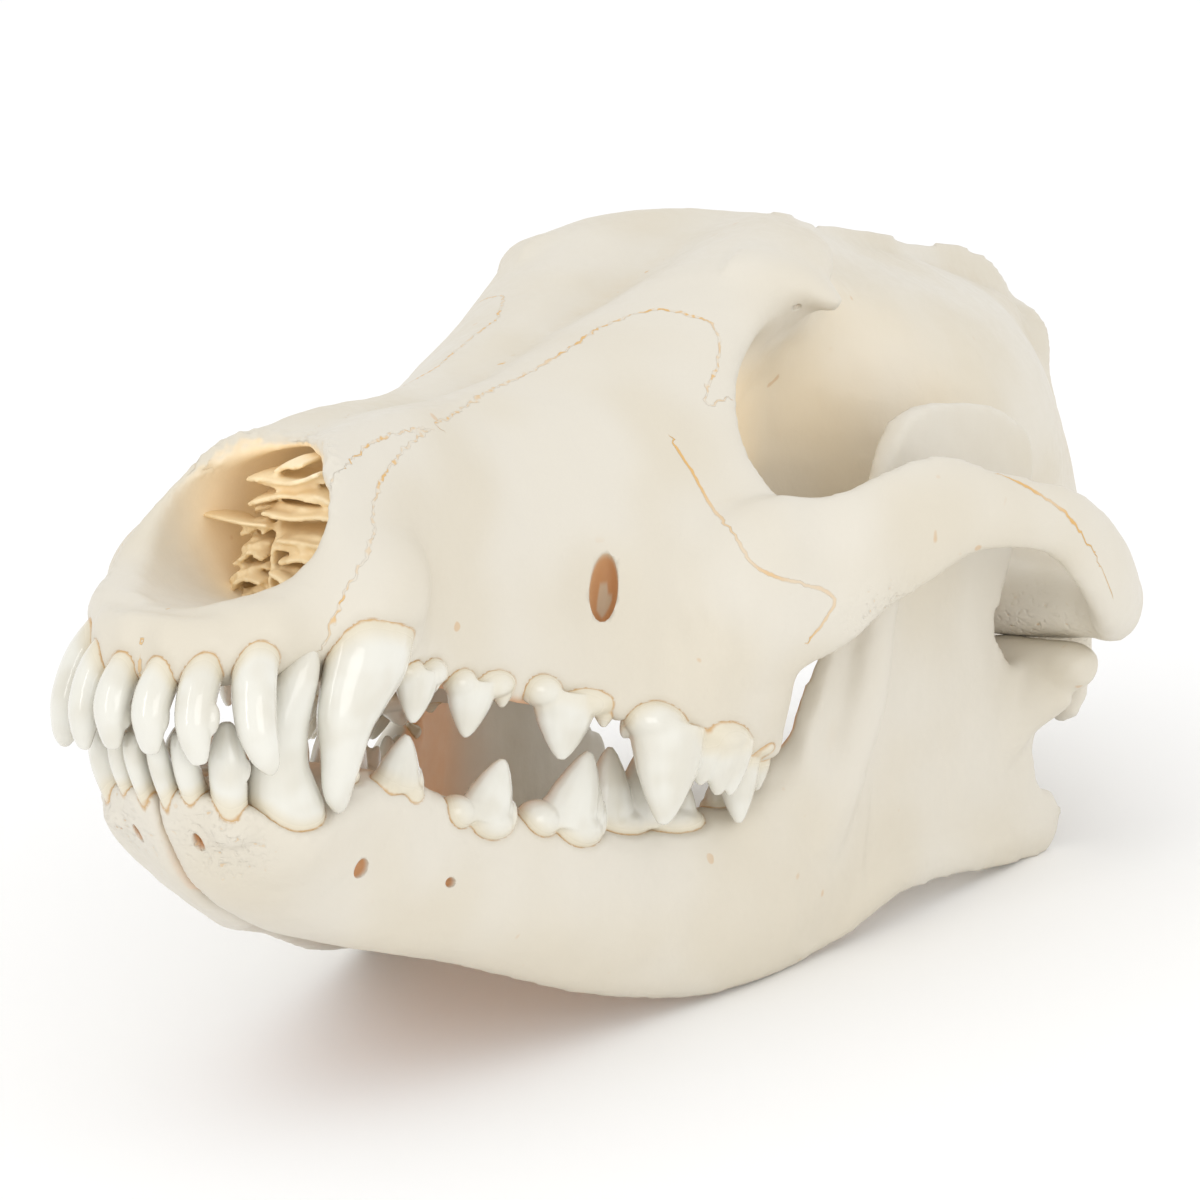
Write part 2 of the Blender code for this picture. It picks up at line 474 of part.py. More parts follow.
teeth = {
    "upper_incisor_1": {"row": (1, 0.08), "up": -1, "size": "small", "path":
                        [[3, 6.6, 5, 1.8, 2.4], [3.1, 4.4, 2.4, 2.2, 2.9], [3.3, 0, -2.6, 2.75, 3],
                         [3.4, -1.9, -6.6, 2.8, 2.6], [3.4, -1.6, -10, 2.3, 1.7], [3.4, -1, -12.4, 1.5, 0.9]],
                        "bumps": [[5.5, -1.2, -7.4, 0.8, 0.9, 2.2], [1.2, -1, -8, 0.8, 0.9, 1.8]]},
    "upper_incisor_2": {"row": (0.95, 0.3), "up": -1, "size": "small", "path":
                        [[7.6, 9, 6, 2.2, 2.6], [8, 6.6, 3.6, 2.5, 3.1], [8.9, 2.2, -1.8, 2.9, 3.3],
                         [9.5, 0.4, -7, 2.8, 2.8], [10, 0.6, -10.6, 2.3, 1.8], [10.3, 1.4, -13.2, 1.4, 0.9]],
                        "bumps": [[12, 1.6, -7, 1, 1.1, 2.3]]},
    "upper_incisor_3": {"row": (0.74, 0.67), "up": -1, "size": "mid", "path":
                        [[12, 14.4, 8, 2.4, 2.4], [13, 11, 5, 3, 3.1], [14.8, 7, -0.6, 3.3, 3.4],
                         [16.4, 5.8, -6.6, 3.1, 3.1], [17.6, 6.4, -10.6, 2.5, 2.3],
                         [18.3, 7.4, -13, 1.7, 1.6], [18.5, 7.8, -14.2, 0.8, 0.8]]},
    "upper_canine": {"row": (0.1, 1), "up": -1, "size": "large", "path":
                     [[17, 32.4, 13.6, 5, 3], [19.4, 29.4, 9.4, 7, 4.2], [21.2, 25.9, 3.4, 7.7, 4.8],
                      [21.2, 23.3, -2.1, 6.4, 4.1],
                      [21, 21.9, -6.4, 5.2, 3.6], [20.8, 21.6, -11.4, 4, 2.8], [20.3, 22.4, -16, 2.8, 2.1],
                      [19.8, 23.7, -18.7, 1.8, 1.4], [19.6, 24.3, -20, 0.8, 0.7]]},
    "upper_premolar_1": {"at": (20.2, 41.4, 0.2), "row": (0.12, 1), "up": -1, "size": "small",
                         "cusps": [[-0.4, -0.6, 0, 8, 3.8, 2.4], [2.8, 3.3, 0, 3.4, 1.9, 1.7],
                                   [-3.4, -3.8, 0, 2.6, 1.4, 1.5]],
                         "lobes": [[0, 0, -0.2, 4.8, 2.4, 2.2]]},
    "upper_premolar_2": {"at": (22.4, 55.2, -1.4), "row": (0.2, 1), "up": -1, "size": "mid",
                         "cusps": [[-1.6, -2.2, 0, 8.4, 5, 2.8], [4.6, 5.2, 0, 3.8, 2.2, 2.1]],
                         "lobes": [[-4.4, 0, -0.2, 2.8, 2.6, 2.4], [2.8, 0, -0.2, 4.2, 2.7, 2.4]]},
    "upper_premolar_3": {"at": (27.8, 73.3, -2.9), "row": (0.31, 1), "rise": -0.08, "up": -1, "size": "mid",
                         "cusps": [[-1.6, -0.5, 0, 10.2, 6.4, 3.2], [6.4, 7.2, 0, 4.4, 2.4, 2.4]],
                         "lobes": [[-6.7, 0, -0.4, 3.8, 3, 2.7], [3, 0, 0.2, 6.2, 3.1, 2.6]]},
    "upper_premolar_4": {"at": (37, 93.2, -7.2), "row": (0.29, 1), "rise": -0.14, "up": -1, "size": "large",
                         "cusps": [[-4.4, -1.9, 0.6, 16, 7.6, 4.3], [10.4, 11.8, 0, 9.4, 3.8, 2.9],
                                   [8, 9, 0, 9.7, 5, 3.1], [4, 5, 0, 8.6, 4.8, 3.2],
                                   [-9.4, -9.8, -3.4, 3.6, 2.4, 2.8]],
                         "lobes": [[-6.8, 0, 0, 6, 4.1, 3.6], [6, 0, -0.2, 7.4, 3.7, 3.5]]},
    "upper_molar_1": {"at": (34.6, 112, -10), "row": (0.02, 1), "up": -1, "size": "large",
                      "cusps": [[-1.2, -1.4, 3.4, 13, 5, 4.2], [4.4, 4.8, 2.4, 8, 3.6, 3.6],
                                [0.6, 0.6, -6, 4.6, 4, 4]],
                      "lobes": [[0, -0.8, 0, 6.8, 8, 2.9]]},
    "upper_molar_2": {"at": (31.6, 122.2, -9.8), "row": (-0.3, 1), "up": -1, "size": "small",
                      "cusps": [[-0.8, -0.8, 2, 3.6, 2.4, 2.6], [0.6, 0.6, -2.2, 2.8, 2.2, 2.4]],
                      "lobes": [[0, 0, 0, 3.2, 5, 1.9]]},
    "lower_incisor_1": {"row": (1, 0.02), "up": 1, "size": "small", "path":
                        [[1.9, 11, -23.4, 1.2, 2.1], [2, 8.4, -20.6, 1.4, 2.4], [2.05, 4.6, -16, 1.5, 2.3],
                         [2.1, 2.4, -12.9, 1.55, 1.7], [2.1, 1.8, -10.8, 1.3, 0.9]]},
    "lower_incisor_2": {"row": (0.97, 0.2), "up": 1, "size": "small", "path":
                        [[5.1, 12.2, -23.4, 1.4, 2.4], [5.3, 9.6, -20.4, 1.6, 2.6],
                         [5.6, 5.6, -15.6, 1.8, 2.5],
                         [5.7, 3.6, -12.2, 1.8, 1.8], [5.5, 2.6, -9.9, 1.2, 1]]},
    "lower_incisor_3": {"row": (0.88, 0.47), "up": 1, "size": "small", "path":
                        [[9.2, 13.4, -24.6, 1.8, 2.2], [9.7, 11.2, -21.4, 2.3, 2.7],
                         [10.7, 8.4, -16, 2.8, 2.7],
                         [11, 7.2, -12.4, 2.7, 2.4], [10.9, 6.8, -9.2, 1.8, 1.5], [10.8, 6.8, -7.8, 1, 0.9]],
                        "bumps": [[13.1, 8.8, -14.4, 1, 1, 1.8]]},
    "lower_canine": {"row": (0.5, 0.86), "up": 1, "size": "large", "path":
                     [[11.2, 24.6, -28.4, 4.4, 3], [12.4, 22, -25, 5.7, 4.1], [13.4, 19.4, -20.8, 6.1, 4.6],
                      [13.8, 17.2, -17, 5.2, 4], [14.1, 15.8, -13.6, 4.3, 3.4], [14.9, 15, -8.8, 3.6, 3],
                      [15.8, 15.1, -4.6, 3.2, 2.7], [17, 15.6, -0.6, 2.6, 2.3], [17.7, 16, 2, 1.9, 1.7],
                      [18, 16.2, 3.4, 1, 0.9]]},
    "lower_premolar_1": {"at": (15.4, 31.4, -15.4), "row": (0.05, 1), "up": 1, "size": "small",
                         "cusps": [[-0.3, -0.3, 0, 4.2, 2.3, 1.9]], "lobes": [[0, 0, 0, 2.6, 2, 1.7]]},
    "lower_premolar_2": {"at": (17, 40.9, -16.8), "row": (0.22, 1), "rise": -0.1, "up": 1, "size": "mid",
                         "cusps": [[0, 1.1, 0, 8.5, 4.2, 2.6], [3.6, 4.3, 0, 3.6, 1.7, 1.9]],
                         "lobes": [[-2.6, 0, -0.2, 2.7, 2.5, 2.3], [2.4, 0, -0.3, 2.9, 2.6, 2.3]]},
    "lower_premolar_3": {"at": (22, 58, -21.6), "row": (0.28, 1), "rise": -0.12, "up": 1, "size": "mid",
                         "cusps": [[0.8, 3.4, 0, 9.6, 5.2, 2.9], [-3.2, 0.6, 0, 5, 3.4, 2.5],
                                   [4.8, 5.5, 0, 5.2, 1.8, 2.1], [6, 7, 0, 3.4, 1.5, 2]],
                         "lobes": [[-4.2, 0, 0.2, 3.3, 2.8, 2.7], [2.6, 0, -0.5, 4.7, 2.9, 2.9]]},
    "lower_premolar_4": {"at": (26, 75.9, -22.8), "row": (0.28, 1), "rise": -0.1, "up": 1, "size": "mid",
                         "cusps": [[0.8, 3.7, 0, 12, 6, 3.3], [-3.6, 0.8, 0, 6.6, 4.2, 2.9],
                                   [6, 6.8, 0, 7, 2, 2.4], [7.2, 8.2, 0, 4.6, 1.7, 2.2]],
                         "lobes": [[-4.8, 0, 0.2, 3.9, 3.3, 3.1], [3.2, 0, -0.5, 5.4, 3.3, 3.3]]},
    "lower_molar_1": {"at": (28.2, 96.8, -23.2), "row": (0.26, 1), "up": 1, "size": "large",
                      "cusps": [[-7.6, -8.8, 0.4, 12.4, 5.2, 3.6], [-1, 0, 0, 13.6, 5.6, 3.7],
                                [7.4, 8.2, 0.8, 7, 3.8, 2.7],
                                [7.6, 8.6, -2, 6, 3.2, 2.2]],
                      "lobes": [[-6, 0, 0, 7, 4, 3.2], [6, 0, 0, 7.6, 4, 3.2]]},
    "lower_molar_2": {"at": (31.8, 115.6, -20.2), "row": (0.25, 1), "rise": 0.25, "up": 1, "size": "small",
                      "cusps": [[-1.4, -1.6, 0.4, 4.6, 2.5, 2.3], [2.2, 2.4, 0, 3.6, 2.2, 2.1]],
                      "lobes": [[0, 0, 0, 4.4, 3, 1.9]]},
    "lower_molar_3": {"at": (33.9, 123.4, -16.2), "row": (0.2, 1), "rise": 0.5, "up": 1, "size": "small",
                      "cusps": [[0, 0, 0, 2, 1.7, 1.7]], "lobes": [[0, 0, 0, 2.1, 2, 1.3]]},
}
spireShape = [[0, 1], [0.25, 0.93], [0.5, 0.76], [0.72, 0.52], [0.88, 0.3], [0.97, 0.12]]


def spire(name, foot, tip, along, out, length, width, sides=14):
    # a cusp: round sections from its foot to its tip, wider where it grows from the crown
    rings = []
    turn = np.arange(sides) * 2 * math.pi / sides
    for share, size in spireShape:
        middle = foot + (tip - foot) * share
        rings.append(middle + np.outer(np.cos(turn) * length * size, along)
                     + np.outer(np.sin(turn) * width * size, out))
    return loft(name, rings)


def toothSolid(name, tooth, voxel):
    along = np.array([*tooth["row"], tooth.get("rise", 0)], float)
    along /= np.linalg.norm(along)
    out = np.cross(along, (0, 0, 1))
    out /= np.linalg.norm(out)
    up = np.cross(out, along) * tooth["up"]
    parts = []
    if "path" in tooth:
        parts.append(horn("shaft", tooth["path"], upright=along, count=4, sides=20))
        parts += [ellipsoid("bump", bump[:3], bump[3:]) for bump in tooth.get("bumps", [])]
    else:
        neck = np.array(tooth["at"], float)
        axes = np.array([along, out, up])
        for lobe in tooth["lobes"]:
            parts.append(ellipsoid("lobe", (0, 0, 0), lobe[3:]))
            place(parts[-1], (points(parts[-1]) + lobe[:3]) @ axes + neck)
        for low, high, t, height, length, width in tooth["cusps"]:
            foot = neck + along * low + out * t * 0.3 - up * 0.6
            tip = neck + along * high + out * t + up * height
            parts.append(spire("cusp", foot, tip, along, out, length, width))
    solid = fuse(name, parts, voxel)
    relax(solid, 2)
    return solid


# What is cut into the thinned bone: centre and radii, or stations

slit = [[31, 74.4, 12.6, 4.6, 2], [28.4, 81.4, 13.6, 5.2, 1.8], [25, 90, 14.6, 3.8, 1.4]]
earHole = {"centre": (34, 213, 12.6), "radii": (6, 3.4, 3.8), "cuts": 1}
palateSlot = {"centre": (4.6, 27, -1.6), "radii": (2, 7.4, 4.6), "cuts": 1}
scrolls = {"fins": 12, "middle": 19.6, "core": 4, "reach": 14.6, "thick": 1, "from": 37, "to": 83}


def scrollBlock():
    # thin fins that fan out from the middle of the nose to its walls
    core, reach, middle = scrolls["core"], scrolls["reach"], scrolls["middle"]
    outline = []
    for k in range(scrolls["fins"]):
        angle = 2 * math.pi * (k + 0.5) / scrolls["fins"]
        valley = angle - math.pi / scrolls["fins"]
        outline.append((core * math.cos(valley), middle + core * math.sin(valley)))
        for side in (-1, 1):
            edge = angle + side * scrolls["thick"] / 2 / reach
            outline.append((reach * math.cos(edge), middle + reach * math.sin(edge)))
    return prism("scrolls", outline, 1, scrolls["from"], scrolls["to"])


def grown(obj, gap):
    copy = bpy.data.objects.new("room", obj.data.copy())
    bpy.context.collection.objects.link(copy)
    place(copy, points(copy) + normals(copy) * gap)
    return copy


def largestPart(obj):
    bm = bmesh.new()
    bm.from_mesh(obj.data)
    left = set(bm.verts)
    parts = []
    while left:
        part = [left.pop()]
        for vert in part:
            for edge in vert.link_edges:
                other = edge.other_vert(vert)
                if other in left:
                    left.remove(other)
                    part.append(other)
        parts.append(part)
    parts.sort(key=len)
    for part in parts[:-1]:
        bmesh.ops.delete(bm, geom=part, context="VERTS")
    bm.to_mesh(obj.data)
    bm.free()


def finish(obj, finishing):
    material = bpy.data.materials.get(finishing["name"])
    if material is None:
        material = bpy.data.materials.new(finishing["name"])
        material.use_nodes = True
        surface = material.node_tree.nodes["Principled BSDF"]
        surface.inputs["Base Color"].default_value = finishing["colour"]
        surface.inputs["Roughness"].default_value = finishing["roughness"]
        surface.inputs["Metallic"].default_value = 0
    obj.data.materials.clear()
    obj.data.materials.append(material)
    obj.data.shade_smooth()
    obj.data.set_sharp_from_angle(angle=math.radians(sharpAngle))


def setDown(objects):
    turn = Matrix.Rotation(-noseUp, 4, "X")
    shift = Matrix.Translation((0, -seatBack, seatUp))
    for obj in objects:
        obj.data.transform(Matrix.Scale(mm, 4) @ shift @ turn)


def main():
    for old in list(bpy.data.objects):
        bpy.data.objects.remove(old)
    crowns = {name: thin(toothSolid("left_" + name, tooth, toothVoxel), toothFaces[tooth["size"]])
              for name, tooth in teeth.items()}
    upper = [crown for name, crown in crowns.items() if name.startswith("upper")]
    lower = [crown for name, crown in crowns.items() if name.startswith("lower")]
    jaw = thin(dentary("left_dentary", boneVoxel), dentaryFaces)
    skull = thin(cranium(boneVoxel), craniumFaces)
    hollow = np.array(jawCondyle) + [0, 0, 0, jointRoom, jointRoom]
    room = horn("jointRoom", hollow, count=2, sides=12)
    cutters = [grown(crown, socketGap) for crown in upper]
    cutters += [room, horn("slit", slit, upright=(0, 0, 1), count=1, sides=8), ellipsoid("ear", **earHole),
                ellipsoid("palateSlot", **palateSlot), grown(crowns["lower_canine"], tipRoom)]
    for cutter in list(cutters):
        cutters.append(mirrored(cutter, cutter.name + "Twin"))
    carve(skull, cutters)
    carve(skull, [scrollBlock()], "UNION")
    carve(jaw, [grown(crown, socketGap) for crown in lower] + [grown(crowns["upper_canine"], tipRoom)])
    largestPart(skull)
    largestPart(jaw)
    bones = [skull, jaw, mirrored(jaw, "right_dentary")]
    crowns = list(crowns.values())
    crowns += [mirrored(crown, crown.name.replace("left", "right")) for crown in crowns]
    setDown(bones + crowns)
    for piece in bones:
        finish(piece, bone)
    for piece in crowns:
        finish(piece, enamel)


main()
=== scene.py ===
import math

import bmesh
import bpy
import numpy as np
from mathutils import Matrix, Vector, noise
from mathutils.bvhtree import BVHTree


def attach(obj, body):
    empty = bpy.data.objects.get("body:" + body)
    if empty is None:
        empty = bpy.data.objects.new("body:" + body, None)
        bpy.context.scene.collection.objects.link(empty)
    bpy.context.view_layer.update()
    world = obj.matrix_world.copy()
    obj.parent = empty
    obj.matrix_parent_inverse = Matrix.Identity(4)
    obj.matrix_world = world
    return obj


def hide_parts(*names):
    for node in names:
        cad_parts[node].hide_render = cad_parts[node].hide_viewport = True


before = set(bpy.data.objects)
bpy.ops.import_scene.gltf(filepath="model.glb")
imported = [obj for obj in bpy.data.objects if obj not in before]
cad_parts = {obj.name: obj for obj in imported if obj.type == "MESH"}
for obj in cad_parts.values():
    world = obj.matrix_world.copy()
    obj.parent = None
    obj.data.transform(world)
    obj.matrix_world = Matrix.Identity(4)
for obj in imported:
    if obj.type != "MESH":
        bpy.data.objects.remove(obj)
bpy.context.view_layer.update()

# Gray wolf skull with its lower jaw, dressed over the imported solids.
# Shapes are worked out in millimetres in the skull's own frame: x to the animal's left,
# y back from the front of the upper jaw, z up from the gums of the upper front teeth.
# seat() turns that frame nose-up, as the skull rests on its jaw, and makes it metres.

mm = 0.001
noseUp = math.radians(14.0)
seatBack = 134.49
seatUp = 77.88
skullToWorld = (Matrix.Scale(mm, 4) @ Matrix.Translation((0, -seatBack, seatUp))
                @ Matrix.Rotation(-noseUp, 4, "X"))


# Smooth curves through given values

def curveThrough(knots, at):
    # each knot is [position, value, value ...]
    knots = np.array(knots, float)
    at = np.clip(np.atleast_1d(np.array(at, float)), knots[0, 0], knots[-1, 0])
    t, v = knots[:, 0], knots[:, 1:]
    step = np.diff(t)[:, None]
    slope = np.diff(v, axis=0) / step
    tangent = np.empty_like(v)
    tangent[0], tangent[-1] = slope[0], slope[-1]
    tangent[1:-1] = (slope[:-1] * step[1:] + slope[1:] * step[:-1]) / (step[1:] + step[:-1])
    i = np.clip(np.searchsorted(t, at, side="right") - 1, 0, len(t) - 2)
    h = step[i]
    u = (at - t[i])[:, None] / h
    return ((2 * u**3 - 3 * u**2 + 1) * v[i] + (u**3 - 2 * u**2 + u) * h * tangent[i]
            + (3 * u**2 - 2 * u**3) * v[i + 1] + (u**3 - u**2) * h * tangent[i + 1])


def closedCurve(outline, count):
    n = len(outline)
    knots = [[k] + list(outline[k % n]) for k in range(-2, n + 3)]
    return curveThrough(knots, np.arange(count) * n / count)


# Mesh tools

def newObject(name, bm):
    bmesh.ops.recalc_face_normals(bm, faces=bm.faces)
    mesh = bpy.data.meshes.new(name)
    bm.to_mesh(mesh)
    bm.free()
    obj = bpy.data.objects.new(name, mesh)
    bpy.context.collection.objects.link(obj)
    return obj


def loft(name, rings):
    bm = bmesh.new()
    loops = []
    for ring in rings:
        verts = [bm.verts.new(point) for point in ring]
        loops.append([bm.edges.new((verts[k - 1], verts[k])) for k in range(len(verts))])
    for near, far in zip(loops, loops[1:]):
        bmesh.ops.bridge_loops(bm, edges=near + far)
    for end in (loops[0], loops[-1]):
        cap = bmesh.ops.contextual_create(bm, geom=end)["faces"]
        bmesh.ops.poke(bm, faces=cap)
    return newObject(name, bm)


def mirrored(obj, name):
    bm = bmesh.new()
    bm.from_mesh(obj.data)
    bmesh.ops.scale(bm, vec=(-1, 1, 1), verts=bm.verts)
    bmesh.ops.reverse_faces(bm, faces=bm.faces)
    return newObject(name, bm)


def pair(obj):
    return [obj, mirrored(obj, obj.name + "Twin")]


def ellipsoid(name, centre, radii, turn=(0, 0, 0), cuts=3):
    bm = bmesh.new()
    bmesh.ops.create_icosphere(bm, subdivisions=cuts, radius=1)
    bmesh.ops.scale(bm, vec=radii, verts=bm.verts)
    for axis, angle in zip("XYZ", turn):
        bmesh.ops.rotate(bm, matrix=Matrix.Rotation(math.radians(angle), 3, axis), verts=bm.verts)
    bmesh.ops.translate(bm, vec=centre, verts=bm.verts)
    return newObject(name, bm)


def horn(name, stations, upright=(0, 0, 1), count=7, sides=16):
    # a tapering bar: each station is [x, y, z, half height along upright, half thickness]
    stations = np.array(stations, float)
    knots = np.column_stack([np.arange(len(stations)), stations])
    rows = curveThrough(knots, np.linspace(0, len(stations) - 1, (len(stations) - 1) * count + 1))
    centre = rows[:, :3]
    along = np.gradient(centre, axis=0)
    along /= np.linalg.norm(along, axis=1)[:, None]
    side = np.cross(along, np.array(upright, float))
    side /= np.linalg.norm(side, axis=1)[:, None]
    up = np.cross(side, along)
    turn = np.arange(sides) * 2 * math.pi / sides
    rings = (centre[:, None, :] + up[:, None, :] * (rows[:, 3:4] * np.cos(turn))[:, :, None]
             + side[:, None, :] * (rows[:, 4:5] * np.sin(turn))[:, :, None])
    return loft(name, rings)


def prism(name, outline, axis, low, high):
    # an outline in the two other axes, pulled along axis
    others = [k for k in range(3) if k != axis]
    bm = bmesh.new()
    verts = []
    for point in outline:
        place = [0.0, 0.0, 0.0]
        place[others[0]], place[others[1]] = point
        place[axis] = low
        verts.append(bm.verts.new(place))
    face = bm.faces.new(verts)
    moved = bmesh.ops.extrude_face_region(bm, geom=[face])["geom"]
    shift = [0.0, 0.0, 0.0]
    shift[axis] = high - low
    movedVerts = [part for part in moved if isinstance(part, bmesh.types.BMVert)]
    bmesh.ops.translate(bm, vec=shift, verts=movedVerts)
    bmesh.ops.triangulate(bm, faces=bm.faces)
    return newObject(name, bm)


def discard(objects):
    for obj in objects:
        bpy.data.objects.remove(obj)


def settle(obj):
    graph = bpy.context.evaluated_depsgraph_get()
    mesh = bpy.data.meshes.new_from_object(obj.evaluated_get(graph))
    obj.modifiers.clear()
    obj.data = mesh


def fuse(name, pieces, voxel):
    bm = bmesh.new()
    for piece in pieces:
        bm.from_mesh(piece.data)
    obj = newObject(name, bm)
    remesh = obj.modifiers.new("fuse", "REMESH")
    remesh.mode = "VOXEL"
    remesh.voxel_size = voxel
    settle(obj)
    discard(pieces)
    return obj


def carve(obj, cutters):
    for cutter in cutters:
        cut = obj.modifiers.new("carve", "BOOLEAN")
        cut.operation = "DIFFERENCE"
        cut.object = cutter
        settle(obj)
    discard(cutters)


def points(obj):
    flat = np.empty(len(obj.data.vertices) * 3)
    obj.data.vertices.foreach_get("co", flat)
    return flat.reshape(-1, 3)


def normals(obj):
    flat = np.empty(len(obj.data.vertices) * 3)
    obj.data.vertex_normals.foreach_get("vector", flat)
    return flat.reshape(-1, 3)


def place(obj, co):
    obj.data.vertices.foreach_set("co", co.ravel())
    obj.data.update()


def nearness(co, centre, radii):
    # 1 at the centre and 0 past the radii, the same on both sides of the skull
    flat = np.abs(co[:, 0])
    reach = (flat - centre[0]) ** 2 / radii[0] ** 2
    reach += (co[:, 1] - centre[1]) ** 2 / radii[1] ** 2 + (co[:, 2] - centre[2]) ** 2 / radii[2] ** 2
    return np.clip(1 - reach, 0, 1) ** 2


def patches(co, spots):
    # the sum of several: each spot is (centre, radii, strength)
    return sum(nearness(co, centre, radii) * strength for centre, radii, strength in spots)


def relax(obj, passes, weight=0.5):
    # weight is one number, or one for each point
    ends = np.empty(len(obj.data.edges) * 2, int)
    obj.data.edges.foreach_get("vertices", ends)
    a, b = ends.reshape(-1, 2).T
    co = points(obj)
    share = np.bincount(np.concatenate([a, b]), minlength=len(co))[:, None]
    weight = np.broadcast_to(np.asarray(weight, float), (len(co),))[:, None]
    for step in range(passes):
        total = np.stack([np.bincount(a, co[b, k], len(co)) + np.bincount(b, co[a, k], len(co))
                          for k in range(3)], axis=1)
        co = co + weight * (total / share - co)
    place(obj, co)


def soften(obj, spots, passes):
    # rounds the bone where pieces meet: each spot is (centre, radii)
    co = points(obj)
    weight = np.zeros(len(co))
    for centre, radii in spots:
        weight = np.maximum(weight, nearness(co, centre, radii))
    relax(obj, passes, weight * 0.6)


def press(obj, strokes):
    # raises or sinks the surface along its normals: each stroke is (centre, radii, height)
    co = points(obj)
    out = normals(obj)
    for centre, radii, height in strokes:
        co = co + out * (nearness(co, centre, radii) * height)[:, None]
    place(obj, co)


# The cranium. Its main body has nine points down one side of each section, from the midline of the
# roof to the midline of the palate. Each row is y, how far the section leans back, then x and z of
# roof, nasal edge, shoulder, upper wall, wall, lower wall, outer gum, inner gum and palate.

